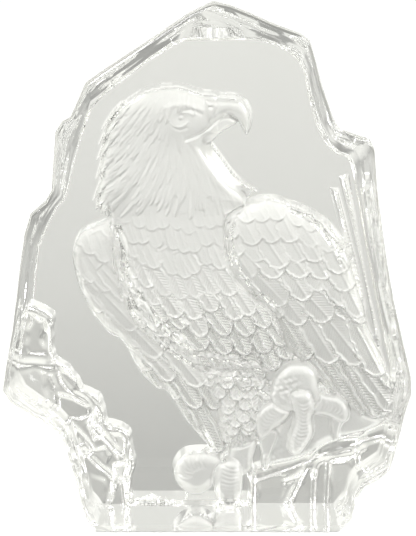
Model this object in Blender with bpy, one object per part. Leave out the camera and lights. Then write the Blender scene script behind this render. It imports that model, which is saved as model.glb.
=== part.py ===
"""Crystal eagle statue: one thick block of clear crystal, carved from behind.

Metres, +Z up. The flat polished front looks along -Y, the carved back along +Y, and the origin is
the middle of the underside. The eagle, its perch and the rocks are one recess in the back, which
shows through the front as a raised figure.

Outlines and carving are drawn on one sheet, as the statue is seen from the front: u squares to the
right and v squares down. The sheet spans WIDTH and HEIGHT, so the drawing follows both sizes.
"""
import math
import random

import bpy
import numpy as np

# Driving sizes in metres
HEIGHT = 0.190
WIDTH = 0.1438
DEPTH = 0.064
FRONT_BEVEL = 0.0012
BACK_BEVEL = 0.0008
BASE_CHAMFER = 0.003
LEDGE_DEPTH = 0.0009
RELIEF_DEPTH = 0.0165
WALL_WIDTH = 0.0013
DIE_PITCH = 0.00125
DIE_MARGIN = 0.004
DIE_BACKING = 0.003

# The drawing sheet, in squares. The block is drawn from a little above, so its squares shrink
# towards the base: by SHEET_LEAN from the sheet's middle to its foot
SHEET_LEFT, SHEET_RIGHT = 2.0, 412.0
SHEET_TOP, SHEET_BASE = 2.0, 534.0
SHEET_MIDDLE_U = (SHEET_LEFT + SHEET_RIGHT) / 2
SHEET_MIDDLE_V = (SHEET_TOP + SHEET_BASE) / 2
SHEET_HALF = (SHEET_BASE - SHEET_TOP) / 2
SHEET_LEAN = 0.0227
WIDEST_V = 388.0
CURVE_STEPS = 6

# The carving is drawn as it shows through the crystal: it really lies wider apart by SEEN_SPREAD
# and lower by SEEN_SINK, a share of the height. It lies on average CARVED_AT of the depth back
SEEN_SPREAD = 1.035
SEEN_SINK = 0.059
CARVED_AT = 0.8

# Front edge (u, v), then where the same corner stands on the back (u, v), clockwise from the peak
BLOCK_CORNERS = (
    (213, 2, 213, 57), (230, 6, 239, 56), (250, 14, 261, 57), (275, 25, 278, 61),
    (300, 34, 294, 69), (310, 41, 304, 79), (317, 65, 311, 92), (322, 85, 314, 113),
    (333, 118, 324, 150), (340, 130, 333, 166), (360, 137, 344, 176), (370, 140, 354, 178),
    (375, 150, 360, 190), (378, 190, 365, 216), (383, 230, 371, 250), (388, 265, 377, 284),
    (395, 305, 384, 322), (403, 340, 391, 356), (412, 380, 399, 392), (412, 396, 400, 410),
    (407, 410, 397, 424), (396, 453, 388, 464), (390, 472, 382, 482), (378, 482, 371, 490),
    (365, 489, 359, 498), (357, 500, 353, 508), (352, 520, 349, 522), (340, 534, 338, 534),
    (95, 534, 99, 534), (85, 520, 89, 522), (80, 500, 85, 506), (75, 480, 80, 488),
    (60, 437, 67, 450), (50, 428, 57, 438), (33, 418, 41, 428), (10, 404, 21, 414),
    (2, 392, 14, 400), (4, 375, 16, 384), (12, 330, 23, 344), (19, 270, 27, 300),
    (24, 235, 31, 272), (30, 215, 39, 252), (45, 202, 49, 232), (51, 192, 58, 222),
    (53, 160, 64, 196), (55, 133, 70, 172), (62, 122, 75, 157), (70, 118, 79, 144),
    (78, 100, 85, 128), (85, 84, 92, 120), (100, 73, 101, 112), (150, 40, 148, 76),
    (190, 13, 182, 57),
)
CORNER_STEP = 15.0
SIDE_SEED = 11

# Ledges down the side walls: share of the depth from the front, share of the draft reached there,
# and how far that share strays. It strays in waves this many squares long. Round the peak the
# draft is held back, so that the wall there drops late. No ledge stands back out, so that the
# casting leaves its mould
SIDE_LEDGES = (
    (0.16, 0.08, 0.02), (0.26, 0.24, 0.03), (0.36, 0.32, 0.03), (0.48, 0.42, 0.04),
    (0.57, 0.56, 0.03), (0.76, 0.73, 0.03), (0.86, 0.85, 0.02),
)
LEDGE_WAVES = (310.0, 170.0, 97.0)
PEAK_U, PEAK_REACH, PEAK_HOLD = 213, 34, 0.35

# Flat facets broken off its corners: the front tip and both back corners (u, v, share of the depth)
FACETS = (
    ((205, 12, 0.20), (188, 27, 0.85), (238, 27, 0.85)),
    ((88, 88, 0.25), (111, 80, 0.65), (88, 110, 0.93)),
    ((55, 137, 0.08), (82, 125, 0.93), (65, 187, 0.90)),
    ((36, 219, 0.34), (56, 207, 0.97), (38, 239, 0.85)),
)
FACET_MARGIN, FACET_BREADTH = 0.12, 0.03

# Heights of the layers, as shares of RELIEF_DEPTH
FAR_WING, BREAST, NEAR_WING = 0.46, 0.80, 0.78
NECK, HEAD, BEAK, THIGH = 0.90, 0.98, 0.90, 0.70
FOOT, HEEL, LEDGE = 1.0, 0.90, 0.72
OUTSIDE = -0.10
WING_FALL, WING_FALL_FROM, WING_FALL_RUN = 0.16, 290, 130

# Closed outlines of the eagle (u, v)
FAR_WING_LINE = (
    (104, 224), (92, 229), (81, 236), (75, 247), (73, 262), (78, 285), (86, 304), (97, 322),
    (110, 336), (120, 341), (128, 351), (134, 363), (143, 378), (155, 390), (168, 395),
    (176, 407), (186, 423), (200, 440), (211, 452), (222, 458), (228, 440), (222, 400),
    (200, 350), (160, 300), (140, 240), (120, 215),
)
BREAST_LINE = (
    (112, 215), (114, 240), (118, 262), (122, 285), (130, 309), (140, 326), (154, 340),
    (170, 352), (188, 361), (206, 366), (226, 369), (246, 370), (260, 377), (275, 382),
    (292, 366), (296, 340), (286, 310), (262, 280), (250, 240), (245, 205), (170, 190),
)
NEAR_WING_LINE = (
    (246, 206), (232, 213), (226, 222), (225, 240), (227, 258), (232, 275), (245, 290),
    (262, 303), (275, 315), (281, 330), (286, 346), (294, 356), (306, 366), (318, 382),
    (334, 396), (352, 409), (366, 419), (378, 422), (388, 418), (394, 404), (391, 386),
    (380, 356), (370, 335), (363, 310), (356, 286), (350, 263), (343, 245), (335, 233),
    (325, 223), (310, 214), (290, 206), (268, 200),
)
NECK_LINE = (
    (140, 97), (123, 110), (112, 127), (107, 146), (105, 166), (104, 182), (102, 196),
    (101, 206), (106, 212), (116, 212), (132, 210), (150, 206), (172, 203), (205, 203),
    (236, 205), (252, 204), (263, 200), (252, 194), (239, 185), (229, 174), (221, 163),
    (213, 152), (209, 145), (213, 139), (219, 128), (221, 112), (217, 98), (203, 96),
    (190, 92), (175, 89), (160, 90), (148, 93),
)
BEAK_LINE = (
    (203, 99), (214, 98), (226, 97), (236, 98), (244, 102), (249, 109), (252, 119),
    (251, 130), (247, 138), (243, 132), (239, 124), (233, 118), (226, 117), (218, 121),
    (208, 127), (202, 116),
)
JAW_LINE = (
    (198, 137), (206, 132), (214, 126), (222, 122), (230, 121), (237, 125), (230, 130),
    (221, 136), (213, 142), (207, 145), (201, 143),
)
THIGH_LINE = (
    (203, 378), (212, 394), (218, 406), (221, 424), (225, 443), (233, 448), (246, 446),
    (256, 438), (263, 425), (271, 410), (276, 396), (272, 380), (255, 366), (225, 362),
)
SHANK_LINE = (
    (231, 438), (229, 452), (226, 466), (236, 478), (250, 474), (254, 460), (256, 442),
)
HEEL_LINE = (
    (210, 453), (198, 452), (185, 454), (177, 461), (173, 472), (175, 483), (182, 491),
    (190, 500), (194, 520), (206, 520), (206, 500), (214, 492), (222, 478), (222, 460),
)
NEAR_TOE_LINE = (
    (226, 459), (216, 467), (212, 480), (212, 500), (216, 520), (246, 520), (251, 500),
    (251, 480), (245, 466), (236, 460),
)
FOOT_LINE = (
    (270, 402), (272, 388), (280, 376), (291, 370), (303, 370), (312, 377), (318, 389),
    (320, 401), (312, 412), (296, 416), (280, 412),
)
MIDDLE_TALON_LINE = (
    (288, 392), (289, 412), (288, 430), (288, 446), (293, 455), (303, 450), (311, 439),
    (314, 424), (313, 404), (306, 392),
)
LEFT_TALON_LINE = (
    (280, 398), (266, 406), (258, 415), (255, 428), (256, 440), (262, 452), (264, 468),
    (270, 468), (270, 452), (277, 440), (284, 426), (291, 412), (290, 402),
)
RIGHT_TALON_LINE = (
    (308, 394), (324, 394), (338, 398), (346, 408), (346, 418), (341, 426), (337, 436),
    (335, 446), (329, 442), (328, 430), (330, 419), (322, 416), (312, 413),
)
PERCH_LINE = (
    (248, 474), (266, 466), (290, 461), (310, 454), (325, 445), (342, 438), (362, 433),
    (396, 419), (404, 428), (392, 435), (366, 442), (345, 450), (322, 457), (306, 465),
    (284, 473), (252, 483),
)

# Forms of the legs and the head, in the order they are laid: outline, top and rim as height
# shares, and how far in from the rim the top is reached
LEG_FORMS = (
    (PERCH_LINE, LEDGE, LEDGE - 0.12, 9),
    (HEEL_LINE, HEEL, HEEL - 0.35, 17),
    (NEAR_TOE_LINE, HEEL - 0.02, HEEL - 0.3, 14),
    (LEFT_TALON_LINE, FOOT - 0.12, FOOT - 0.36, 10),
    (RIGHT_TALON_LINE, FOOT - 0.10, FOOT - 0.36, 11),
    (FOOT_LINE, FOOT - 0.03, FOOT - 0.36, 18),
    (MIDDLE_TALON_LINE, FOOT, FOOT - 0.3, 12),
)
HEAD_FORMS = (
    (JAW_LINE, BEAK - 0.14, BEAK - 0.34, 6),
    (BEAK_LINE, BEAK, BEAK - 0.30, 9),
)

# Feather rows: the tips' line (u, v), how many, heading below level at each end in degrees,
# length, width, and lift of the tip as a share of RELIEF_DEPTH. Lower rows come first
FAR_WING_ROWS = (
    (((160, 392), (185, 424), (204, 446), (221, 458)), 5, 56, 58, 96, 17, 0.07),
    (((146, 380), (174, 400), (198, 407), (218, 413)), 5, 50, 56, 84, 17, 0.07),
    (((128, 354), (152, 366), (178, 382), (200, 389)), 4, 42, 50, 70, 19, 0.07),
    (((104, 330), (125, 338), (142, 347), (160, 358)), 4, 40, 44, 62, 21, 0.06),
    (((88, 300), (106, 312), (122, 320), (140, 334)), 4, 48, 44, 54, 21, 0.05),
    (((82, 272), (98, 286), (114, 296), (128, 304)), 4, 60, 50, 46, 20, 0.05),
    (((82, 250), (96, 260), (110, 266), (124, 274)), 4, 70, 60, 34, 19, 0.04),
)
BREAST_ROWS = (
    (((142, 329), (160, 346), (178, 358), (194, 369), (214, 373), (236, 378), (256, 381),
      (272, 373), (288, 361)), 10, 62, 58, 38, 20, 0.11),
    (((134, 309), (150, 327), (172, 340), (196, 348), (221, 353), (247, 353), (270, 353),
      (288, 344)), 9, 62, 58, 38, 22, 0.10),
    (((132, 296), (146, 308), (163, 323), (184, 327), (206, 337), (228, 336), (250, 336),
      (270, 329)), 8, 64, 60, 36, 23, 0.08),
    (((128, 281), (150, 300), (170, 309), (191, 317), (213, 313), (236, 318), (256, 313)),
     7, 66, 62, 36, 23, 0.06),
    (((126, 265), (148, 282), (175, 295), (197, 301), (216, 295), (236, 296)),
     6, 70, 66, 36, 23, 0.045),
    (((124, 250), (148, 264), (170, 272), (192, 276), (210, 268), (226, 267)),
     6, 74, 70, 34, 23, 0.032),
    (((122, 236), (146, 246), (168, 250), (190, 253), (210, 248), (224, 244)),
     6, 80, 76, 32, 23, 0.025),
)
NEAR_WING_ROWS = (
    (((318, 382), (338, 399), (358, 413), (378, 422), (391, 414), (393, 392)),
     6, 47, 54, 98, 21, 0.09),
    (((290, 352), (306, 363), (335, 365), (360, 362), (376, 366), (388, 384)),
     6, 50, 56, 62, 28, 0.10),
    (((281, 316), (298, 324), (320, 327), (341, 322), (358, 330), (372, 348)),
     6, 50, 58, 52, 26, 0.09),
    (((264, 302), (284, 304), (303, 301), (326, 292), (346, 304), (363, 318)),
     6, 50, 60, 44, 25, 0.07),
    (((254, 280), (282, 279), (308, 278), (331, 281), (352, 292)), 5, 52, 60, 42, 27, 0.07),
    (((242, 258), (264, 262), (284, 264), (300, 259), (322, 264), (341, 272)),
     6, 54, 60, 38, 25, 0.05),
    (((238, 238), (258, 242), (278, 240), (298, 240), (318, 244), (334, 252)),
     6, 60, 58, 32, 23, 0.035),
)
THIGH_ROWS = (
    (((226, 446), (242, 446), (257, 437)), 4, 84, 100, 44, 14, 0.05),
    (((220, 420), (240, 424), (264, 414)), 4, 80, 96, 38, 16, 0.04),
)

# Neck hackles: pointed locks that start in rows and follow the neck's flow. The flow's heading in
# degrees below level is given across the neck, from the nape at 0 to the throat at 1
NAPE_LINE = ((96, 142), (110, 124), (128, 112), (148, 107), (182, 104), (215, 100))
THROAT_LINE = ((96, 222), (128, 219), (146, 210), (163, 221), (185, 239), (200, 262), (215, 262))
FLOW_ACROSS = ((0.0, 150), (0.25, 124), (0.45, 110), (0.6, 93), (0.8, 66), (1.0, 46))
HACKLE_ROWS, HACKLES_ACROSS = 9, 11
HACKLE_TOP, HACKLE_BOTTOM = 100, 186
HACKLE_LENGTH, HACKLE_WIDTH, HACKLE_LIFT = 36, 8.5, 0.075
HACKLE_BENDS = 5
HACKLE_STRAY, HACKLE_RIM, HACKLE_REACH = 4, 4, 9
NECK_RIM, NECK_REACH, COLLAR_REACH, COLLAR_EDGE = 0.20, 22, 26, 5
FACE_LEFT, FACE_BOTTOM = 158, 142
HACKLE_SEED = 5

# Face: lines pressed into it (points, half width in squares, depth share), and ridges where the
# depth is negative: the mouth, the cere's edge, the shadow under the brow, the brow, the lower lid
FACE_LINES = (
    (((237, 122), (230, 118), (223, 118), (215, 123), (207, 130), (197, 136), (188, 139)), 1.5, 0.07),
    (((216, 99), (217, 107), (214, 115)), 1.4, 0.04),
    (((178, 112), (188, 112), (198, 115)), 2.0, 0.05),
    (((165, 108), (176, 106), (189, 107), (203, 111)), 2.6, -0.05),
    (((168, 120), (171, 124), (176, 127), (183, 126), (188, 122)), 1.3, -0.03),
)
NOSTRIL, NOSTRIL_SIZE, NOSTRIL_DEPTH = (211, 107), (2.2, 1.4), 0.06
EYE, EYE_RADIUS, EYE_FLATNESS = (178, 118), 4.0, 1.25
EYE_SOCKET, EYE_SOCKET_DEPTH, EYE_BALL_SINK, EYE_BALL_RISE = 8.0, 0.05, 0.09, 0.05
CHEEK, CHEEK_SPREAD = (184, 120), (32, 20)

# Broken rock in plateaus: outline (u, v), height share, and its rise per square along u and v
LEFT_ROCK_LINE = (
    (16, 302), (32, 304), (53, 318), (52, 342), (54, 360), (70, 371), (81, 389), (97, 398),
    (108, 424), (122, 427), (131, 439), (134, 462), (131, 486), (133, 530), (40, 530),
    (10, 430), (-14, 420), (-8, 320),
)
LEFT_ROCK_LUMPS = (
    (((28, 311), (45, 321), (47, 357), (24, 360)), 0.80, 0.004, -0.003),
    (((13, 308), (23, 310), (19, 362), (8, 360)), 0.66, 0.010, 0.000),
    (((15, 374), (34, 366), (48, 374), (50, 410), (33, 408), (17, 399)), 0.66, 0.006, 0.002),
    (((54, 366), (68, 374), (80, 391), (70, 396), (58, 386)), 0.70, -0.006, 0.002),
    (((57, 394), (76, 397), (90, 406), (92, 420), (77, 424), (58, 420)), 0.86, 0.003, -0.004),
    (((60, 428), (76, 431), (86, 446), (77, 459), (65, 446)), 0.66, 0.012, 0.006),
    (((86, 426), (96, 404), (105, 424), (104, 440), (92, 444)), 0.96, -0.004, 0.004),
    (((86, 452), (104, 446), (112, 458), (110, 476), (95, 466)), 0.62, 0.006, -0.010),
    (((88, 470), (106, 482), (108, 504), (104, 530), (90, 530), (84, 490)), 0.64, 0.006, 0.002),
    (((109, 432), (122, 432), (128, 443), (124, 462), (114, 454)), 0.80, -0.006, 0.006),
    (((114, 466), (129, 458), (129, 484), (130, 530), (110, 530), (109, 486)), 0.94, 0.000, 0.000),
)
RIGHT_ROCK_LINE = (
    (248, 476), (268, 470), (304, 464), (322, 457), (345, 446), (372, 436), (410, 426),
    (420, 460), (396, 480), (366, 490), (364, 530), (248, 530),
)
RIGHT_ROCK_LUMPS = (
    (((256, 480), (288, 474), (292, 484), (272, 530), (257, 530)), 0.46, 0.000, 0.003),
    (((298, 486), (310, 480), (310, 530), (280, 530)), 0.50, 0.004, 0.003),
    (((306, 470), (318, 454), (320, 462), (314, 472)), 0.60, 0.000, 0.010),
    (((330, 464), (352, 459), (352, 484), (346, 530), (330, 530)), 0.48, 0.000, 0.004),
    (((363, 444), (392, 436), (393, 474), (364, 482)), 0.56, 0.004, -0.004),
    (((325, 449), (354, 444), (355, 454), (324, 460)), 0.74, 0.000, 0.004),
)
ROCK_FLOOR, LUMP_WALL = 0.40, 4.5

# The rocks' edges wander from the drawn lines: squares of wander, squares between its waves
ROCK_WANDER = ((1.8, 43.0), (0.8, 17.0), (0.3, 8.3))

# Ribs of rock: line (u, v), half width in squares, height share
ROCK_RIBS = (
    (((252, 474), (253, 490), (253, 530)), 5.0, 0.95),
    (((298, 482), (288, 502), (274, 530)), 5.0, 0.95),
    (((314, 476), (314, 530)), 4.5, 0.92),
    (((325, 465), (325, 530)), 5.0, 0.97),
    (((340, 441), (323, 448), (304, 470), (296, 486)), 4.5, 0.94),
    (((317, 476), (321, 464), (340, 459), (357, 454)), 4.5, 0.90),
    (((362, 440), (357, 456), (358, 480), (350, 530)), 5.5, 0.97),
    (((358, 484), (376, 480), (398, 472)), 4.5, 0.86),
    (((52, 362), (54, 388), (51, 412), (58, 428), (78, 462), (90, 500), (98, 530)), 5.0, 0.95),
    (((50, 318), (49, 362)), 4.0, 0.86),
    (((20, 366), (52, 366), (70, 378), (82, 396), (96, 404)), 4.5, 0.82),
    (((78, 428), (92, 446), (110, 446), (116, 462), (112, 492), (108, 530)), 4.5, 0.95),
)

# Upright shards beside the near wing: outline (u, v) and the ridge height share
SHARD_LINES = (
    (((329, 190), (341, 191), (350, 226), (360, 268), (370, 316), (366, 330), (352, 268),
      (340, 232)), 0.34),
    (((338, 180), (350, 176), (359, 222), (371, 290), (384, 344), (388, 388), (376, 352),
      (364, 286), (350, 226)), 0.28),
)

SHARD_RIM, SHARD_REACH = 0.08, 6.0

# Colour and finish of the crystal
CRYSTAL_COLOUR = (0.93, 0.95, 0.92, 1.0)
CRYSTAL_ROUGHNESS = 0.03
CRYSTAL_IOR = 1.54
DIE_COLOUR = (0.35, 0.33, 0.30, 1.0)

# Triangles left on the die once its flat stretches are thinned
DIE_KEEP = 0.085


def clear_scene():
    """Remove everything that the file opened with."""
    for thing in list(bpy.data.objects):
        bpy.data.objects.remove(thing)


def lean(v):
    """How much larger than at the base a square is drawn at a height on the sheet."""
    return 1 + SHEET_LEAN * (SHEET_MIDDLE_V - v) / SHEET_HALF


SQUARE_X = WIDTH / (SHEET_RIGHT - SHEET_LEFT) * lean(WIDEST_V)
SQUARE_Z = HEIGHT / SHEET_HALF / (1 / lean(SHEET_TOP) + 1 / lean(SHEET_BASE))
MIDDLE_Z = SHEET_HALF * SQUARE_Z / lean(SHEET_BASE)


def on_face(u, v):
    """The place in metres on the front face of a place on the sheet."""
    return (u - SHEET_MIDDLE_U) * SQUARE_X / lean(v), MIDDLE_Z + (SHEET_MIDDLE_V - v) * SQUARE_Z / lean(v)


def on_sheet(x, z):
    """The place on the sheet of a place on the front face."""
    up = (z - MIDDLE_Z) / SQUARE_Z
    spread = 1 / (1 - SHEET_LEAN / SHEET_HALF * up)
    return SHEET_MIDDLE_U + x / SQUARE_X * spread, SHEET_MIDDLE_V - up * spread


def smooth_line(points, closed=True, steps=CURVE_STEPS):
    """Points along a smooth curve through the given ones, as an array of (u, v)."""
    knots = np.array(points, float)
    if closed:
        before, after, beyond = (np.roll(knots, turn, 0) for turn in (1, -1, -2))
    else:
        ends = np.vstack([2 * knots[0] - knots[1], knots, 2 * knots[-1] - knots[-2]])
        before, knots, after, beyond = ends[:-3], ends[1:-2], ends[2:-1], ends[3:]
    stations = []
    for t in np.linspace(0, 1, steps, endpoint=False):
        stations.append(0.5 * (2 * knots + (after - before) * t
                               + (2 * before - 5 * knots + 4 * after - beyond) * t ** 2
                               + (3 * knots - before - 3 * after + beyond) * t ** 3))
    line = np.stack(stations, 1).reshape(-1, 2)
    if closed:
        return line
    return np.vstack([line, points[-1]])


def at_share(line, share):
    """The point a share of the way along a line, by length."""
    steps = np.hypot(*np.diff(line, axis=0).T)
    run = np.concatenate([[0.0], np.cumsum(steps)])
    place = share * run[-1]
    return np.array([np.interp(place, run, line[:, 0]), np.interp(place, run, line[:, 1])])


def line_distance(line, u, v, closed):
    """Distance to the line in squares; for a closed line it is positive inside."""
    ends = np.roll(line, -1, 0) if closed else line[1:]
    nearest = np.full(u.shape, np.inf)
    inside = np.zeros(u.shape, bool)
    for (au, av), (bu, bv) in zip(line, ends):
        du, dv = bu - au, bv - av
        along = ((u - au) * du + (v - av) * dv) / max(du * du + dv * dv, 1e-9)
        along = np.clip(along, 0, 1)
        nearest = np.minimum(nearest, (u - au - along * du) ** 2 + (v - av - along * dv) ** 2)
        if closed and dv:
            inside ^= ((av > v) != (bv > v)) & (u < au + (v - av) * du / dv)
    nearest = np.sqrt(nearest)
    return np.where(inside, nearest, -nearest) if closed else nearest


def rounded(distance, reach):
    """0 at an edge, rising like a quarter round to 1 where the distance passes reach."""
    return np.sqrt(1 - (1 - np.clip(distance / reach, 0, 1)) ** 2)


def eased(share):
    """A share from 0 to 1 that starts and ends softly."""
    share = np.clip(share, 0, 1)
    return share * share * (3 - 2 * share)


def wander(u, v):
    """Places on the sheet moved by slow waves, so that broken rock isn't drawn with a ruler."""
    for swing, wave in ROCK_WANDER:
        turn = 2 * math.pi / wave
        u, v = (u + swing * np.sin(turn * v + wave) * np.cos(turn * u * 0.6),
                v + swing * np.sin(turn * u * 0.8 + 2 * wave) * np.cos(turn * v * 0.5))
    return u, v


class Relief:
    """The carved figure as heights above the back face, in shares of RELIEF_DEPTH."""

    def __init__(self, u, v):
        self.u, self.v = u, v
        self.height = np.full(u.shape, OUTSIDE)
        self.wall = WALL_WIDTH / SQUARE_X

    def lay(self, distance, height):
        """Cover the figure with a form where distance is positive, with a steep wall round it."""
        cover = np.clip(distance / self.wall + 0.5, 0, 1)
        self.height = self.height * (1 - cover) + height * cover

    def body(self, outline, top, edge, reach):
        """A swelling form with a closed outline, edge high at its rim and top high inside."""
        distance = line_distance(smooth_line(outline), self.u, self.v, True)
        form = edge + (top - edge) * rounded(distance, reach)
        self.lay(distance, form)
        return distance, form

    def groove(self, points, width, depth):
        """Press a soft groove along an open line; a negative depth raises a ridge."""
        distance = line_distance(smooth_line(points, closed=False), self.u, self.v, False)
        self.height = self.height - depth * np.exp(-(distance / width) ** 2)

    def near(self, points, margin):
        """The part of the grid within a margin of some points."""
        low, high = np.min(points, 0) - margin, np.max(points, 0) + margin
        inside = (self.u >= low[0]) & (self.u <= high[0]) & (self.v >= low[1]) & (self.v <= high[1])
        rows, columns = np.flatnonzero(inside.any(1)), np.flatnonzero(inside.any(0))
        if not len(columns) or not len(rows):
            return None
        return slice(rows[0], rows[-1] + 1), slice(columns[0], columns[-1] + 1)

    def feather(self, tip, root, width, lift, ground, keep):
        """One feather from root to tip, laid on the ground form where keep is positive."""
        tip, root = np.array(tip, float), np.array(root, float)
        area = self.near([tip, root], width)
        if area is None:
            return
        shaft = tip - root
        length = np.hypot(*shaft)
        out_u, out_v = self.u[area] - root[0], self.v[area] - root[1]
        along = (out_u * shaft[0] + out_v * shaft[1]) / length ** 2
        across = (out_v * shaft[0] - out_u * shaft[1]) / length
        round_end = min(0.55 * width / length, 0.6)
        past = np.clip((along - (1 - round_end)) / round_end, 0, 1)
        half = width / 2 * np.sqrt(1 - past ** 2) * np.clip(0.7 + along, 0.7, 1)
        margin = np.minimum(half - np.abs(across), (1 - along) * length)
        margin = np.minimum(margin, along * length)
        cover = np.clip(margin / self.wall + 0.5, 0, 1) * np.clip(keep[area] / self.wall + 1, 0, 1)
        crown = 1 - (across / (width / 2)) ** 2
        form = ground[area] + lift * np.clip(along, 0, 1) * (0.75 + 0.45 * crown)
        form += 0.12 * lift * np.exp(-(across / (0.07 * width + 0.6)) ** 2)
        self.height[area] = self.height[area] * (1 - cover) + form * cover

    def rows(self, rows, ground, keep):
        """Overlapping rows of feathers, the lowest first."""
        for tips, count, first_heading, last_heading, length, width, lift in rows:
            line = smooth_line(tips, closed=False)
            for place in np.linspace(0, 1, count):
                tip = at_share(line, place)
                heading = math.radians(first_heading + (last_heading - first_heading) * place)
                root = tip - length * np.array([math.cos(heading), math.sin(heading)])
                self.feather(tip, root, width, lift, ground, keep)

    def lock(self, path, width, lift, ground, keep):
        """A slender pointed lock along a path, laid on the ground form where keep is positive."""
        area = self.near(path, width)
        if area is None:
            return
        u, v = self.u[area], self.v[area]
        nearest = np.full(u.shape, np.inf)
        along = np.zeros(u.shape)
        for number, ((au, av), (bu, bv)) in enumerate(zip(path, path[1:])):
            du, dv = bu - au, bv - av
            part = np.clip(((u - au) * du + (v - av) * dv) / (du * du + dv * dv), 0, 1)
            away = np.hypot(u - au - part * du, v - av - part * dv)
            closer = away < nearest
            nearest = np.where(closer, away, nearest)
            along = np.where(closer, (number + part) / (len(path) - 1), along)
        half = width / 2 * np.minimum(0.5 + 2 * along, 1.25 * np.sqrt(1 - along))
        cover = np.clip((half - nearest) / self.wall + 0.5, 0, 1)
        cover = cover * np.clip(keep[area] / self.wall + 1, 0, 1)
        form = ground[area] + lift * (0.2 + 0.8 * along) * (1 - 0.5 * (nearest / (width / 2)) ** 2)
        self.height[area] = self.height[area] * (1 - cover) + form * cover

    def plateau(self, outline, height, rise_u, rise_v):
        """A flat tilted facet of rock with a short rounded wall, where it stands highest."""
        line = np.array(outline, float)
        u, v = wander(self.u, self.v)
        distance = line_distance(line, u, v, True)
        middle = line.mean(0)
        top = height + rise_u * (self.u - middle[0]) + rise_v * (self.v - middle[1])
        form = ROCK_FLOOR + (top - ROCK_FLOOR) * rounded(distance, LUMP_WALL)
        self.height = np.where(distance > 0, np.maximum(form, self.height), self.height)

    def rib(self, points, half_width, height):
        """A rounded rib of rock along an open line, where it stands highest."""
        u, v = wander(self.u, self.v)
        distance = line_distance(np.array(points, float), u, v, False)
        form = ROCK_FLOOR + (height - ROCK_FLOOR) * np.sqrt(
            np.clip(1 - (distance / half_width) ** 2, 0, 1))
        self.height = np.where(distance < half_width, np.maximum(form, self.height), self.height)


def carve_rocks(relief):
    """Rocks at both lower corners and the shards up the right side."""
    for outline, ridge in SHARD_LINES:
        distance = line_distance(np.array(outline, float), relief.u, relief.v, True)
        relief.lay(distance, SHARD_RIM + ridge * np.clip(distance / SHARD_REACH, 0, 1))
    for outline, lumps in ((LEFT_ROCK_LINE, LEFT_ROCK_LUMPS), (RIGHT_ROCK_LINE, RIGHT_ROCK_LUMPS)):
        u, v = wander(relief.u, relief.v)
        relief.lay(line_distance(np.array(outline, float), u, v, True), ROCK_FLOOR)
        for lump in lumps:
            relief.plateau(*lump)
    for rib in ROCK_RIBS:
        relief.rib(*rib)


def carve_far_wing(relief):
    """The wing and tail behind the breast, in long overlapping feathers."""
    keep, ground = relief.body(FAR_WING_LINE, FAR_WING, FAR_WING - 0.16, 26)
    relief.rows(FAR_WING_ROWS, ground, keep - 1)


def carve_breast(relief):
    """The breast: smooth above, in deeper ragged feathers below."""
    keep, ground = relief.body(BREAST_LINE, BREAST, BREAST - 0.14, 42)
    relief.rows(BREAST_ROWS, ground, keep + 12)


def carve_near_wing(relief):
    """The folded wing nearest the front, with its rows of coverts and long primaries."""
    fall = WING_FALL * np.clip((relief.v - WING_FALL_FROM) / WING_FALL_RUN, 0, 1)
    keep, ground = relief.body(NEAR_WING_LINE, NEAR_WING - fall, NEAR_WING - 0.2 - fall, 30)
    relief.rows(NEAR_WING_ROWS, ground, keep - 1)


def neck_flow(spot):
    """The heading of the hackles at a spot, in radians below level."""
    nape = np.interp(spot[1], *zip(*NAPE_LINE))
    throat = np.interp(spot[1], *zip(*THROAT_LINE))
    across = (spot[0] - nape) / (throat - nape)
    return math.radians(np.interp(across, *zip(*FLOW_ACROSS)))


def carve_neck(relief):
    """Neck and slender hackles that sweep back and down from the crown to the collar."""
    out_u = (relief.u - CHEEK[0]) / CHEEK_SPREAD[0]
    out_v = (relief.v - CHEEK[1]) / CHEEK_SPREAD[1]
    swell = (HEAD - NECK) * np.exp(-out_u ** 2 - out_v ** 2)
    distance = line_distance(smooth_line(NECK_LINE), relief.u, relief.v, True)
    form = NECK - NECK_RIM + (NECK_RIM + swell) * rounded(distance, NECK_REACH)
    standing = relief.height.copy()
    relief.lay(distance, form)
    chest = np.maximum(line_distance(smooth_line(BREAST_LINE), relief.u, relief.v, True),
                       line_distance(smooth_line(NEAR_WING_LINE), relief.u, relief.v, True))
    merge, soft = eased((chest - 1) / COLLAR_EDGE), eased(distance / COLLAR_REACH)
    merged = standing * (1 - soft) + form * soft
    relief.height = relief.height * (1 - merge) + merged * merge
    ground = form * (1 - merge) + merged * merge
    chance = random.Random(HACKLE_SEED)
    for row in range(HACKLE_ROWS - 1, -1, -1):
        for lane in range(HACKLES_ACROSS):
            v = HACKLE_TOP + (HACKLE_BOTTOM - HACKLE_TOP) * row / (HACKLE_ROWS - 1)
            v += chance.uniform(-HACKLE_STRAY, HACKLE_STRAY)
            side = (lane + 0.5 * (row % 2) + chance.uniform(-0.25, 0.25)) / (HACKLES_ACROSS - 0.5)
            nape, throat = np.interp(v, *zip(*NAPE_LINE)), np.interp(v, *zip(*THROAT_LINE))
            path = [np.array([nape + HACKLE_RIM + (throat - nape - 2 * HACKLE_RIM) * side, v])]
            length = HACKLE_LENGTH * chance.uniform(0.8, 1.15)
            if path[0][0] > FACE_LEFT and v < FACE_BOTTOM:
                continue
            for _ in range(HACKLE_BENDS):
                heading = neck_flow(path[-1])
                step = np.array([math.cos(heading), math.sin(heading)])
                path.append(path[-1] + step * length / HACKLE_BENDS)
            relief.lock(path, HACKLE_WIDTH, HACKLE_LIFT, ground, distance + HACKLE_REACH)


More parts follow.
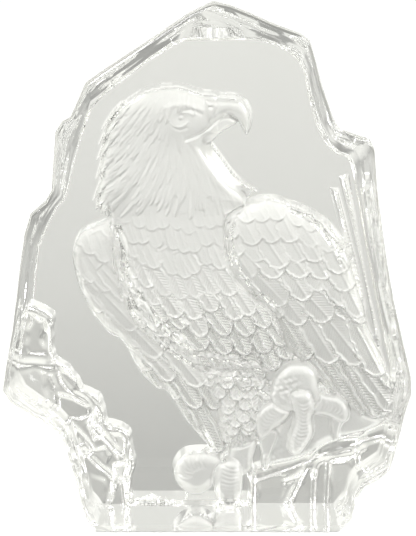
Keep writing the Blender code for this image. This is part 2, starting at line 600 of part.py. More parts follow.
def carve_head(relief):
    """The hooked beak, mouth line, nostril, brow and eye."""
    u, v = relief.u, relief.v
    for outline, top, edge, reach in HEAD_FORMS:
        distance = line_distance(smooth_line(outline), u, v, True)
        form = edge + (top - edge) * rounded(distance, reach)
        relief.lay(distance, np.maximum(form, relief.height))
    for line, width, depth in FACE_LINES:
        relief.groove(line, width, depth)
    out_u, out_v = (u - NOSTRIL[0]) / NOSTRIL_SIZE[0], (v - NOSTRIL[1]) / NOSTRIL_SIZE[1]
    relief.height = relief.height - NOSTRIL_DEPTH * np.exp(-out_u ** 2 - out_v ** 2)
    from_eye = np.hypot(u - EYE[0], (v - EYE[1]) * EYE_FLATNESS)
    relief.height = relief.height - EYE_SOCKET_DEPTH * np.exp(-(from_eye / EYE_SOCKET) ** 2)
    ball = HEAD - EYE_BALL_SINK + EYE_BALL_RISE * rounded(EYE_RADIUS - from_eye, EYE_RADIUS)
    relief.height = np.where(from_eye < EYE_RADIUS, np.maximum(relief.height, ball), relief.height)


def carve_legs(relief):
    """Feathered thigh, the heel and toe on the rock, and the raised foot with its talons."""
    relief.body(SHANK_LINE, THIGH, THIGH - 0.2, 9)
    keep, ground = relief.body(THIGH_LINE, THIGH, THIGH - 0.16, 22)
    relief.rows(THIGH_ROWS, ground, keep)
    for form in LEG_FORMS:
        relief.body(*form)


def seen_place(u, v, share):
    """Where in metres that lies, a share of the depth back, which shows at a place on the sheet."""
    x, z = on_face(u, v)
    part = share / CARVED_AT
    spread = 1 + (SEEN_SPREAD - 1) * part
    return x * spread, DEPTH * (share - 0.5), z * spread - SEEN_SINK * HEIGHT * part


def carved_heights(x, z):
    """The depth of the carving into the back face in metres, for places on that face."""
    u, v = on_sheet(x / SEEN_SPREAD, (z + SEEN_SINK * HEIGHT) / SEEN_SPREAD)
    relief = Relief(u, v)
    carve_rocks(relief)
    carve_far_wing(relief)
    carve_breast(relief)
    carve_near_wing(relief)
    carve_neck(relief)
    carve_head(relief)
    carve_legs(relief)
    return relief.height * RELIEF_DEPTH


def grid_solid(name, x, z, heights):
    """A closed solid whose front follows y = back face - heights and whose back is flat."""
    rows, columns = x.shape
    front = np.stack([x, DEPTH / 2 - heights, z], -1).reshape(-1, 3)
    back = np.stack([x, np.full(x.shape, DEPTH / 2 + DIE_BACKING), z], -1).reshape(-1, 3)
    count = rows * columns
    index = np.arange(count).reshape(rows, columns)
    a, b, c, d = index[:-1, :-1], index[:-1, 1:], index[1:, 1:], index[1:, :-1]
    front_faces = np.stack([a, b, c, d], -1).reshape(-1, 4)
    back_faces = front_faces[:, ::-1] + count
    rim = np.concatenate([index[0, :-1], index[:-1, -1], index[-1, :0:-1], index[:0:-1, 0]])
    after = np.roll(rim, -1)
    sides = np.stack([after, rim, rim + count, after + count], -1)
    faces = np.concatenate([front_faces, back_faces, sides])
    mesh = bpy.data.meshes.new(name)
    mesh.from_pydata(np.concatenate([front, back]).tolist(), [], faces.tolist())
    mesh.validate()
    body = bpy.data.objects.new(name, mesh)
    bpy.context.collection.objects.link(body)
    return body


def make_die():
    """The figure's die: it is cut out of the block, so it is only a guide here."""
    left, right = -WIDTH / 2 - DIE_MARGIN, WIDTH / 2 + DIE_MARGIN
    columns = round((right - left) / DIE_PITCH)
    rows = round((HEIGHT + 2 * DIE_MARGIN) / DIE_PITCH)
    x, z = np.meshgrid(np.linspace(left, right, columns + 1),
                       np.linspace(-DIE_MARGIN, HEIGHT + DIE_MARGIN, rows + 1))
    die = grid_solid("eagle_die", x, z, carved_heights(x, z))
    thin = die.modifiers.new("fewer triangles where flat", 'DECIMATE')
    thin.ratio = DIE_KEEP
    die.hide_render = True
    die.display_type = 'WIRE'
    die.data.materials.append(plain_material("die steel", DIE_COLOUR, 0.4))
    return die


def block_corner_rows():
    """Front and back corners in metres, with long spans divided."""
    rows = []
    for this, after in zip(BLOCK_CORNERS, BLOCK_CORNERS[1:] + BLOCK_CORNERS[:1]):
        this, after = np.array(this, float), np.array(after, float)
        pieces = max(1, round(np.hypot(*(after - this)[:2]) / CORNER_STEP))
        rows += [this + (after - this) * step / pieces for step in range(pieces)]
    front_u, front_v, back_u, back_v = np.array(rows).T
    return np.stack(on_face(front_u, front_v), 1), np.stack(on_face(back_u, back_v), 1)


def inward(line):
    """Unit directions that point into a clockwise closed line."""
    along = np.roll(line, -1, 0) - np.roll(line, 1, 0)
    turned = np.stack([along[:, 1], -along[:, 0]], 1)
    return turned / np.hypot(*turned.T)[:, None]


def block_ring(front, back, share, draft, inset):
    """One ring of the side wall, a share of the depth back: its draft and inset, corner by corner."""
    line = front + (back - front) * draft[:, None]
    moved = line + inward(line) * inset[:, None]
    y = -DEPTH / 2 + DEPTH * share
    from_face = min(share, 1 - share) * DEPTH
    floor = max(BASE_CHAMFER - from_face, 0.0)
    on_floor = line[:, 1] < BASE_CHAMFER / 10
    z = np.where(on_floor, floor, np.maximum(moved[:, 1], floor))
    return [(px, y, pz) for px, pz in zip(moved[:, 0], z)]


def block_rings():
    """All rings of the side wall, from the front face to the back face."""
    front, back = block_corner_rows()
    chance = random.Random(SIDE_SEED)
    even = np.ones(len(front))
    run = np.cumsum(np.hypot(*(np.roll(front, -1, 0) - front).T)) / SQUARE_X
    away = (front[:, 0] / SQUARE_X + SHEET_MIDDLE_U - PEAK_U) / PEAK_REACH
    held = 1 - PEAK_HOLD * np.exp(-away ** 2) * (front[:, 1] > HEIGHT / 2)

    def stray():
        """From -1 to 1, changing slowly along the outline."""
        waves = [np.sin(2 * math.pi * (run / wave + chance.random())) for wave in LEDGE_WAVES]
        return np.clip(sum(waves) / 2, -1, 1)

    bevel, chamfer = FRONT_BEVEL / DEPTH, BASE_CHAMFER / DEPTH
    rings = [
        block_ring(front, back, 0.0, 0 * even, FRONT_BEVEL * even),
        block_ring(front, back, bevel, 0 * even, FRONT_BEVEL / 4 * even),
        block_ring(front, back, chamfer, 0 * even, 0 * even),
    ]
    for share, draft, most in SIDE_LEDGES:
        inset = LEDGE_DEPTH * (1 + stray()) / 2
        rings.append(block_ring(front, back, share, (draft + most * stray()) * held, inset))
    for share, inset in ((1 - chamfer, 0.0), (1 - BACK_BEVEL / DEPTH, 0.0), (1.0, BACK_BEVEL)):
        rings.append(block_ring(front, back, share, share * even, inset * even))
    return rings


def make_block():
    """The block: a lofted, drafted wall of soft ledges between two flat faces."""
    rings = block_rings()
    count = len(rings[0])
    corners = [corner for ring in rings for corner in ring]
    faces = [tuple(range(count)), tuple(reversed(range(len(corners) - count, len(corners))))]
    for low in range(len(rings) - 1):
        for i in range(count):
            j = (i + 1) % count
            a, b = low * count + i, low * count + j
            faces.append((b, a, a + count, b + count))
    mesh = bpy.data.meshes.new("crystal_block")
    mesh.from_pydata(corners, [], faces)
    mesh.validate()
    block = bpy.data.objects.new("crystal_block", mesh)
    bpy.context.collection.objects.link(block)
    block.data.materials.append(plain_material("clear crystal", CRYSTAL_COLOUR, CRYSTAL_ROUGHNESS))
    return block


def make_facet_cutter(name, tip, one, other):
    """A wedge whose inner face passes through a facet's tip and both its back corners."""
    tip, one, other = (np.array(seen_place(*spot)) for spot in (tip, one, other))
    outward = np.cross(one - tip, other - tip)
    if outward @ (tip - (0, tip[1], HEIGHT / 2)) < 0:
        one, other, outward = other, one, -outward
    outward = outward / np.sqrt(outward @ outward)
    wide, long = (other - one) * FACET_MARGIN, ((one + other) / 2 - tip) * FACET_MARGIN
    inner = [tip - wide - long, tip + wide - long, other + wide + long, one - wide + long]
    outer = [place + outward * FACET_BREADTH for place in inner]
    faces = [(0, 1, 2, 3), (7, 6, 5, 4), (4, 5, 1, 0), (5, 6, 2, 1), (6, 7, 3, 2), (7, 4, 0, 3)]
    mesh = bpy.data.meshes.new(name)
    mesh.from_pydata([tuple(place) for place in inner + outer], [], faces)
    cutter = bpy.data.objects.new(name, mesh)
    bpy.context.collection.objects.link(cutter)
    cutter.hide_render = True
    cutter.display_type = 'WIRE'
    return cutter


def cut_away(block, name, cutter):
    """Cut a guide's solid out of the block."""
    cut = block.modifiers.new(name, 'BOOLEAN')
    cut.operation = 'DIFFERENCE'
    cut.object = cutter


def plain_material(name, colour, roughness):
    """A Principled material; the crystal one lets light through."""
    material = bpy.data.materials.new(name)
    material.use_nodes = True
    shader = material.node_tree.nodes["Principled BSDF"]
    shader.inputs["Base Color"].default_value = colour
    shader.inputs["Roughness"].default_value = roughness
    shader.inputs["Metallic"].default_value = 0.0
    if name == "clear crystal":
        shader.inputs["Transmission Weight"].default_value = 1.0
        shader.inputs["IOR"].default_value = CRYSTAL_IOR
    return material


def main():
    """Model the block and press the figure into its back."""
    clear_scene()
    block = make_block()
    for number, facet in enumerate(FACETS, 1):
        cut_away(block, f"broken corner {number}", make_facet_cutter(f"facet_{number}", *facet))
    cut_away(block, "carved back", make_die())


main()
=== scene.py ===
"""Looks of the crystal eagle statue: one thick block of clear crystal, carved from behind.

The flat polished front looks along -Y and the carved back along +Y. The eagle, its perch and the
rocks are one recess in the back, which shows through the front as a raised figure.

Outlines and carving are drawn on one sheet, as the statue is seen from the front: u squares to the
right and v squares down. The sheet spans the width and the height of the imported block.
"""
import math
import random

import bmesh
import bpy
import numpy as np
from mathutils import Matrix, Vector


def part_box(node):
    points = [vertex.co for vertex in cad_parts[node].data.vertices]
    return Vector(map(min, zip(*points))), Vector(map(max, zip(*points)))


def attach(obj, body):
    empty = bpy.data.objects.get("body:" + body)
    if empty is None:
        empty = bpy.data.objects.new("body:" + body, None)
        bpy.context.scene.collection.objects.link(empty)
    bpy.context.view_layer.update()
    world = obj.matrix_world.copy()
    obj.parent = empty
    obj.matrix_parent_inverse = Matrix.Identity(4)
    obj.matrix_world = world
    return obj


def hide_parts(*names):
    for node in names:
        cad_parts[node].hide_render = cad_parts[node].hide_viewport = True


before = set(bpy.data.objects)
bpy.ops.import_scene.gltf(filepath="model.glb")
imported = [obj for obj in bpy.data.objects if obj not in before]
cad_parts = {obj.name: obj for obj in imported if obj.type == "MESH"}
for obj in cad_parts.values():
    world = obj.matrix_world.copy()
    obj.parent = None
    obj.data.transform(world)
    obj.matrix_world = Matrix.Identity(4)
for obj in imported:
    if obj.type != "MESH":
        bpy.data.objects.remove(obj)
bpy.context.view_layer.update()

LOW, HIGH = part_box("crystal_block")
WIDTH, DEPTH, HEIGHT = HIGH - LOW

# Sizes in metres that the block doesn't state
FRONT_BEVEL = 0.0012
BACK_BEVEL = 0.0008
BASE_CHAMFER = 0.003
LEDGE_DEPTH = 0.0009
RELIEF_DEPTH = 0.0165
WALL_WIDTH = 0.0011
FEATHER_WALL = 0.0007
LOCK_WALL = 0.0005
DIE_MARGIN = 0.004
DIE_BACKING = 0.003
FLOOR_GAP = 0.0003

# Crystal: refractive index, the slots of its finishes, and the angle where a crease stays sharp
REFRACTION = 1.54
POLISHED, FIRED, SATIN = range(3)
SHARP_ANGLE = 50

# How fine the die's grid is: from each place on the sheet on, metres between lines
FINE_ACROSS = ((-100, 0.00064), (66, 0.00038), (398, 0.00064))
FINE_DOWN = ((-100, 0.00090), (84, 0.00034), (212, 0.00038), (484, 0.00052))

# The drawing sheet, in squares. The block is drawn from a little above, so its squares shrink
# towards the base: by SHEET_LEAN from the sheet's middle to its foot
SHEET_LEFT, SHEET_RIGHT = 2.0, 412.0
SHEET_TOP, SHEET_BASE = 2.0, 534.0
SHEET_MIDDLE_U = (SHEET_LEFT + SHEET_RIGHT) / 2
SHEET_MIDDLE_V = (SHEET_TOP + SHEET_BASE) / 2
SHEET_HALF = (SHEET_BASE - SHEET_TOP) / 2
SHEET_LEAN = 0.0227
WIDEST_V = 388.0

# The carving is drawn as it shows through the crystal: it really lies wider apart by SEEN_SPREAD
# and lower by SEEN_SINK, a share of the height. It lies on average CARVED_AT of the depth back
SEEN_SPREAD = 1.035
SEEN_SINK = 0.059
CARVED_AT = 0.8

# Front edge (u, v), then where the same corner stands on the back (u, v), clockwise from the peak
BLOCK_CORNERS = (
    (213, 2, 213, 57), (230, 6, 239, 56), (250, 14, 261, 57), (275, 25, 278, 61),
    (300, 34, 294, 69), (310, 41, 304, 79), (317, 65, 311, 92), (322, 85, 314, 113),
    (333, 118, 324, 150), (340, 130, 333, 166), (360, 137, 344, 176), (370, 140, 354, 178),
    (375, 150, 360, 190), (378, 190, 365, 216), (383, 230, 371, 250), (388, 265, 377, 284),
    (395, 305, 384, 322), (403, 340, 391, 356), (412, 380, 399, 392), (412, 396, 400, 410),
    (407, 410, 397, 424), (396, 453, 388, 464), (390, 472, 382, 482), (378, 482, 371, 490),
    (365, 489, 359, 498), (357, 500, 353, 508), (352, 520, 349, 522), (340, 534, 338, 534),
    (95, 534, 99, 534), (85, 520, 89, 522), (80, 500, 85, 506), (75, 480, 80, 488),
    (60, 437, 67, 450), (50, 428, 57, 438), (33, 418, 41, 428), (10, 404, 21, 414),
    (2, 392, 14, 400), (4, 375, 16, 384), (12, 330, 23, 344), (19, 270, 27, 300),
    (24, 235, 31, 272), (30, 215, 39, 252), (45, 202, 49, 232), (51, 192, 58, 222),
    (53, 160, 64, 196), (55, 133, 70, 172), (62, 122, 75, 157), (70, 118, 79, 144),
    (78, 100, 85, 128), (85, 84, 92, 120), (100, 73, 101, 112), (150, 40, 148, 76),
    (190, 13, 182, 57),
)
CORNER_STEP = 9.0
SIDE_SEED = 11

# Ledges down the side walls: share of the depth from the front, share of the draft reached there,
# and how far that share strays. It strays in waves this many squares long. Round the peak the
# draft is held back, so that the wall there drops late
SIDE_LEDGES = (
    (0.08, 0.02, 0.01), (0.16, 0.08, 0.02), (0.26, 0.24, 0.03), (0.275, 0.27, 0.03),
    (0.36, 0.32, 0.03), (0.48, 0.42, 0.04), (0.495, 0.46, 0.04), (0.57, 0.56, 0.03),
    (0.66, 0.64, 0.03), (0.675, 0.67, 0.03), (0.76, 0.73, 0.03), (0.86, 0.85, 0.02),
)
LEDGE_WAVES = (310.0, 170.0, 97.0)
PEAK_U, PEAK_REACH, PEAK_HOLD = 213, 34, 0.35

# Flat facets broken off its corners: the front tip and both back corners (u, v, share of the depth)
FACETS = (
    ((205, 12, 0.20), (188, 27, 0.85), (238, 27, 0.85)),
    ((88, 88, 0.25), (111, 80, 0.65), (88, 110, 0.93)),
    ((55, 137, 0.08), (82, 125, 0.93), (65, 187, 0.90)),
    ((36, 219, 0.34), (56, 207, 0.97), (38, 239, 0.85)),
)
# The wedges that cut them reach past their corners by this share and are this thick in metres
FACET_MARGIN, FACET_BREADTH = 0.12, 0.03

# The front edge's rounding: share of FRONT_BEVEL back, and share of it inwards
FRONT_ROUND = ((0.0, 1.0), (1 / 3, 0.4), (1.0, 0.08))

# Heights of the layers, as shares of RELIEF_DEPTH. Round the figure the die stays outside the
# block, and the near wing falls towards its tip: by how much, from which v, over how many squares
FAR_WING, BREAST, NEAR_WING = 0.46, 0.80, 0.78
NECK, HEAD, BEAK, THIGH = 0.81, 0.88, 0.88, 0.70
FOOT, HEEL, LEDGE, BACK_ROCK = 1.0, 0.90, 0.60, 0.50
OUTSIDE = -0.10
WING_FALL, WING_FALL_FROM, WING_FALL_RUN = 0.16, 290, 130

# Closed outlines of the eagle (u, v)
FAR_WING_LINE = (
    (104, 224), (92, 229), (81, 236), (75, 247), (73, 262), (78, 285), (86, 304), (97, 322),
    (110, 336), (120, 341), (128, 351), (134, 363), (143, 378), (155, 390), (168, 395),
    (176, 407), (186, 423), (200, 440), (211, 452), (222, 458), (228, 440), (222, 400),
    (200, 350), (160, 300), (140, 240), (120, 215),
)
BREAST_LINE = (
    (112, 215), (114, 240), (118, 262), (122, 285), (130, 309), (140, 326), (154, 340),
    (170, 352), (188, 361), (206, 366), (226, 369), (246, 370), (260, 377), (275, 382),
    (292, 366), (296, 340), (286, 310), (262, 280), (250, 240), (247, 208), (236, 188),
    (214, 164), (180, 150), (140, 150), (116, 172), (110, 196),
)
NEAR_WING_LINE = (
    (246, 206), (232, 213), (226, 222), (225, 240), (227, 258), (232, 275), (245, 290),
    (262, 303), (275, 315), (281, 330), (286, 346), (294, 356), (306, 366), (318, 382),
    (334, 396), (352, 409), (366, 419), (378, 422), (388, 418), (394, 404), (391, 386),
    (380, 356), (370, 335), (363, 310), (356, 286), (350, 263), (343, 245), (335, 233),
    (325, 223), (310, 214), (290, 206), (268, 200),
)
NECK_LINE = (
    (140, 97), (123, 110), (112, 127), (107, 146), (105, 166), (104, 182), (102, 196),
    (101, 206), (106, 212), (116, 216), (132, 222), (150, 226), (172, 228), (205, 226),
    (236, 217), (252, 208), (263, 200), (252, 194), (239, 185), (229, 174), (221, 163),
    (213, 152), (209, 145), (213, 139), (219, 128), (221, 112), (217, 98), (203, 96),
    (190, 92), (175, 89), (160, 90), (148, 93),
)
BEAK_LINE = (
    (203, 99), (214, 98), (226, 97), (236, 98), (244, 102), (249, 109), (252, 119),
    (251, 130), (247, 138), (243, 132), (239, 124), (233, 118), (226, 117), (218, 121),
    (208, 127), (202, 116),
)
JAW_LINE = (
    (196, 134), (206, 128), (214, 121), (222, 116), (230, 116), (237, 121), (237, 126),
    (230, 130), (221, 136), (213, 142), (207, 145), (201, 143),
)
THIGH_LINE = (
    (203, 378), (212, 394), (218, 406), (221, 424), (225, 443), (233, 448), (246, 446),
    (256, 438), (263, 425), (271, 410), (276, 396), (272, 380), (255, 366), (225, 362),
)
SHANK_LINE = (
    (231, 438), (229, 452), (226, 466), (236, 478), (250, 474), (254, 460), (256, 442),
)
HEEL_LINE = (
    (210, 453), (198, 452), (185, 454), (177, 461), (173, 472), (175, 483), (182, 491),
    (192, 496), (203, 495), (213, 488), (221, 476), (222, 460),
)
NEAR_TOE_LINE = (
    (226, 459), (217, 466), (213, 480), (214, 494), (220, 505), (230, 510), (239, 505),
    (243, 492), (243, 476), (240, 464), (234, 459),
)
FOOT_LINE = (
    (271, 400), (271, 388), (276, 374), (287, 364), (304, 363), (315, 371), (319, 386),
    (318, 400), (311, 409), (296, 412), (281, 409),
)
MIDDLE_TOE_LINE = (
    (291, 392), (293, 406), (294, 420), (290, 434), (288, 449), (293, 455), (300, 454),
    (308, 444), (313, 433), (312, 419), (314, 404), (308, 390),
)
LEFT_TOE_LINE = (
    (289, 396), (276, 400), (264, 405), (257, 415), (256, 428), (259, 440), (265, 438),
    (274, 430), (284, 423), (291, 412),
)
LEFT_CLAW_LINE = (
    (257, 434), (259, 446), (261, 458), (262, 470), (268, 470), (270, 458), (278, 436), (272, 430),
)
RIGHT_TOE_LINE = (
    (312, 392), (328, 394), (340, 397), (348, 407), (348, 419), (342, 423), (334, 419),
    (324, 416), (312, 414),
)
RIGHT_CLAW_LINE = (
    (331, 416), (331, 428), (333, 440), (338, 441), (340, 430), (343, 420),
)
BACK_ROCK_LINE = (
    (262, 474), (267, 448), (279, 428), (292, 410), (318, 404), (345, 400), (364, 414),
    (392, 422), (402, 430), (362, 442), (320, 458), (290, 470),
)
PERCH_LINE = (
    (248, 474), (266, 466), (290, 461), (310, 454), (325, 445), (342, 438), (362, 433),
    (396, 419), (404, 428), (392, 435), (366, 442), (345, 450), (322, 457), (306, 465),
    (284, 473), (252, 483),
)

# Feather rows: the tips' line (u, v), how many, heading below level at each end in degrees,
# length, width, lift of the tip as a share of RELIEF_DEPTH, and how deep the barbs are cut from
# 0 to 1. Lower rows come first
FAR_WING_ROWS = (
    (((160, 392), (185, 424), (204, 446), (221, 458)), 5, 56, 58, 96, 17, 0.08, 0.3),
    (((146, 380), (174, 400), (198, 407), (218, 413)), 5, 50, 56, 84, 17, 0.075, 0.3),
    (((128, 354), (152, 366), (178, 382), (200, 389)), 4, 36, 46, 70, 19, 0.07, 0.2),
    (((104, 330), (125, 338), (142, 347), (160, 358)), 4, 30, 40, 62, 21, 0.045, 0.1),
    (((88, 300), (106, 312), (122, 320), (140, 334)), 4, 40, 44, 54, 21, 0.04, 0.0),
    (((82, 272), (98, 286), (114, 296), (128, 304)), 4, 56, 50, 46, 20, 0.03, 0.0),
    (((82, 250), (96, 260), (110, 266), (124, 274)), 4, 70, 60, 34, 19, 0.02, 0.0),
)
BREAST_ROWS = (
    (((142, 329), (160, 346), (178, 358), (194, 369), (214, 373), (236, 378), (256, 381),
      (272, 373), (288, 361)), 11, 44, 62, 38, 17, 0.11, 0.9),
    (((134, 309), (150, 327), (172, 340), (196, 348), (221, 353), (247, 353), (270, 353),
      (288, 344)), 9, 46, 60, 40, 19, 0.11, 1.0),
    (((132, 296), (146, 308), (163, 323), (184, 327), (206, 337), (228, 336), (250, 336),
      (270, 329)), 8, 48, 58, 40, 20, 0.09, 0.9),
    (((128, 281), (150, 300), (170, 309), (191, 317), (213, 313), (236, 318), (256, 313)),
     8, 52, 60, 38, 19, 0.06, 0.6),
    (((126, 265), (148, 282), (175, 295), (197, 301), (216, 295), (236, 296)),
     8, 60, 60, 34, 18, 0.035, 0.3),
    (((124, 250), (148, 264), (170, 272), (192, 276), (210, 268), (226, 267)),
     9, 68, 64, 30, 16, 0.02, 0.0),
    (((122, 236), (146, 246), (168, 250), (190, 253), (210, 248), (224, 244)),
     9, 76, 70, 28, 15, 0.014, 0.0),
    (((118, 222), (146, 229), (168, 231), (190, 232), (210, 228), (224, 226)),
     10, 80, 74, 24, 14, 0.010, 0.0),
)
NEAR_WING_ROWS = (
    (((318, 382), (338, 399), (358, 413), (378, 422), (391, 414), (393, 392), (389, 372)),
     8, 47, 58, 104, 17, 0.08, 1.0),
    (((287, 344), (310, 363), (337, 364), (361, 360), (383, 374)), 5, 50, 58, 66, 27, 0.08, 0.1),
    (((282, 318), (308, 327), (332, 321), (350, 306), (366, 322)), 5, 48, 58, 54, 25, 0.065, 0.3),
    (((264, 302), (284, 304), (303, 301), (326, 292), (346, 304), (363, 318)),
     6, 50, 60, 44, 25, 0.05, 0.1),
    (((254, 280), (282, 279), (308, 278), (331, 281), (352, 292)), 5, 52, 60, 42, 27, 0.045, 0.0),
    (((242, 258), (264, 262), (284, 264), (300, 259), (322, 264), (341, 272)),
     6, 54, 60, 38, 25, 0.035, 0.0),
    (((238, 238), (258, 242), (278, 240), (298, 240), (318, 244), (334, 252)),
     6, 60, 58, 32, 23, 0.025, 0.0),
    (((236, 222), (256, 224), (276, 222), (296, 224), (316, 230)), 6, 66, 58, 24, 19, 0.016, 0.0),
)

# The thigh's small feathers: its left and right edge at some heights (v, u, u), the rows' spacing
# and how much each sags at its middle, the first and last heading, and the feathers' length, width,
# lift and barbs
THIGH_EDGES = ((372, 200, 280), (394, 211, 276), (424, 221, 264), (446, 228, 252))
THIGH_ROW_STEP, THIGH_SAG, THIGH_HEADINGS, THIGH_SCALE = 9.0, 2, (84, 96), (18, 15, 0.064, 0.5)

# Each feather strays from its drawn place by squares and degrees, and its width and lift vary
FEATHER_SEED = 3
FEATHER_STRAY, FEATHER_TURN = 3.2, 6
FEATHER_WIDTHS, FEATHER_LIFTS = (0.9, 1.1), (0.7, 1.3)

# A feather's outline: how long its round end is, as a share of its width and at most of its length,
# how wide its root is, and the waves of its edges: share of the width, waves and their shift
FEATHER_END, LONGEST_END, FEATHER_ROOT = 0.55, 0.6, 0.7
EDGE_WAVES = ((0.05, 23, 40), (0.03, 51, 90))

# Its surface: squares between barbs and how much they sweep, the height of its sides and how much
# more its middle has, and the raised shaft and rim: share of the lift, half width, and the rim's
# way in from the edge
BARB_PITCH, BARB_SWEEP = 3.4, 0.9
VANE_SIDE, VANE_CROWN = 0.85, 0.35
SHAFT_SHARE, SHAFT_WIDTH = 0.35, 0.9
RIM_SHARE, RIM_WIDTH, RIM_IN = 0.55, 0.9, 1.3

# Painted shade on the satin: its colour is darkened inside a feather's rim, by VANE_PAINTED_SHADE,
# so that the rim stays light as a painted highlight, and in the gap just past its edge, by
# GAP_PAINTED_SHADOW, as a painted shadow under the feather. That reaches its full strength where a
# feather is lifted by FULL_LIFT
FULL_LIFT, VANE_PAINTED_SHADE, GAP_PAINTED_SHADOW, GAP_WIDTH, GAP_OUT = 0.10, 0.42, 0.85, 1.1, 1.4

# Ragged bands of splinters: both edges (u, v), how many splinters, their length, width and lift,
# and how deep the pits between them are
BREAST_BANDS = (
    (((110, 226), (112, 248), (115, 270), (121, 290), (129, 311), (142, 328), (161, 346),
      (176, 359), (193, 369)),
     ((121, 226), (125, 248), (129, 270), (136, 288), (148, 306), (163, 321), (181, 338),
      (198, 351)), 36, 32, 6.0, 0.09, 0.15),
    (((192, 352), (215, 355), (243, 360), (268, 366)),
     ((194, 356), (215, 359), (243, 364), (266, 371)), 14, 24, 4.0, 0.09, 0.05),
    (((190, 366), (212, 371), (233, 375), (252, 380), (274, 391)),
     ((194, 370), (212, 375), (232, 379), (250, 384), (268, 396)), 14, 24, 4.0, 0.09, 0.05),
)
WING_BANDS = (
    (((240, 207), (229, 214), (226, 232), (228, 254), (236, 276), (252, 294), (272, 310)),
     ((246, 209), (236, 216), (232, 233), (234, 253), (242, 272), (257, 289), (277, 305)),
     26, 18, 3.6, 0.05, 0.04),
    (((292, 206), (312, 213), (328, 224), (339, 240), (348, 262)),
     ((290, 212), (308, 221), (321, 232), (331, 247), (341, 266)), 16, 18, 3.6, 0.05, 0.05),
)

# The splinters turn by SPLINTER_STRAY degrees at most, and stray along the band and in width. The
# pits ease in over PIT_EDGE squares. Their colour is darkened by PIT_PAINTED_SHADE, as painted
# shade in the pits, and where the crumples pass CLEAR_FROM they are clear
SPLINTER_STRAY, SPLINTER_SHIFT, SPLINTER_WIDTHS = 14, 0.4, (0.7, 1.2)
PIT_EDGE, PIT_PAINTED_SHADE, CLEAR_FROM = 2, 0.7, -0.25

# A lock's half width: at its root, how fast it grows, and at its point; and its height at the root
LOCK_ROOT, LOCK_GROWTH, LOCK_POINT, LOCK_LOW = 0.5, 2, 1.25, 0.2

# Neck hackles: pointed locks that start in rows and follow the neck's flow. The flow's heading in
# degrees below level is given across the neck, from the nape at 0 to the throat at 1
NAPE_LINE = ((96, 142), (110, 124), (128, 112), (148, 107), (182, 104), (215, 100))
THROAT_LINE = ((96, 222), (128, 219), (146, 210), (163, 221), (185, 239), (200, 262), (215, 262))
FLOW_ACROSS = ((0.0, 150), (0.25, 124), (0.45, 110), (0.6, 93), (0.8, 66), (1.0, 46))
HACKLE_SEED, HACKLE_ROWS, HACKLES_ACROSS = 5, 17, 26
HACKLE_TOP, HACKLE_BOTTOM = 98, 186
HACKLE_LENGTH, HACKLE_WIDTH, HACKLE_LIFT = 32, 5.0, 0.034
HACKLE_LENGTHS, HACKLE_WIDTHS = (0.6, 1.2), (0.8, 1.3)

# A hackle's path has this many bends and sways by degrees. Its root strays down and across, keeps
# HACKLE_RIM squares from the neck's edges, and its lift calms towards the throat
HACKLE_BENDS, HACKLE_SWAY = 6, 9
HACKLE_STRAY, LANE_STRAY, HACKLE_RIM, HACKLE_CALM = 8, 0.25, 4, 0.7

# The neck's rim and how far in it is full; how far in and round its collar it merges with what lies
# below it; and the face, where no hackle starts
NECK_RIM, NECK_REACH, COLLAR_REACH, COLLAR_EDGE = 0.10, 18, 34, 16
COLLAR_LINE = ((122, 206), (170, 192), (246, 203), (268, 198), (268, 236), (122, 236))
FACE, FACE_SIZE = (196, 116), (34, 19)

# Tufts that stand out from the nape: how far out, the squares between them and how uneven these
# are, the heading they point in below level, and where they are: left of u and below v, fading in
TUFT_SWING, TUFT_PITCH, TUFT_SWAY, TUFT_HEADING = 6.5, 8.5, 0.3, 128
TUFT_U, TUFT_U_FADE, TUFT_V, TUFT_V_FADE = 128, 30, 96, 24

# The throat slopes down to the neck's outer edge: that edge (u, v), the slope's width and depth
THROAT_SLOPE = (
    (209, 145), (213, 152), (221, 163), (229, 174), (239, 185), (252, 194), (263, 200),
)
THROAT_WIDTH, THROAT_DEPTH = 14.0, 0.27

# Face: lines pressed into it (points, half width in squares, depth share), and ridges where the
# depth is negative: the mouth, the cere's edge, the shadow under the brow, the brow, the lower lid
# and the fold under it, the gap below the jaw, the beak's upper edge and the line over the eye
FACE_LINES = (
    (((237, 122), (230, 118), (223, 118), (215, 123), (207, 130), (197, 136), (186, 140)),
     1.2, 0.045),
    (((216, 99), (217, 107), (214, 115)), 1.2, 0.025),
    (((184, 111), (192, 110), (201, 114)), 1.5, 0.015),
    (((166, 108), (176, 105), (189, 105), (203, 110)), 2.4, -0.012),
    (((168, 119), (171, 124), (176, 127), (183, 126), (188, 122)), 0.9, -0.012),
    (((170, 122), (174, 127), (180, 130), (187, 128)), 1.2, 0.010),
    (((237, 126), (229, 130), (221, 135), (212, 143)), 1.0, 0.10),
    (((217, 100), (227, 100), (237, 101)), 0.9, 0.05),
    (((181, 113), (187, 112), (193, 115)), 1.0, -0.012),
)
NOSTRIL, NOSTRIL_SIZE, NOSTRIL_DEPTH = (211, 107), (2.0, 1.2), 0.035
EYE, EYE_RADIUS, EYE_FLATNESS = (181, 118), 3.4, 1.2
EYE_SOCKET, EYE_SOCKET_DEPTH, EYE_BALL_SINK, EYE_BALL_RISE = 8.0, 0.03, 0.05, 0.035
CHEEK, CHEEK_SPREAD = (184, 120), (32, 20)

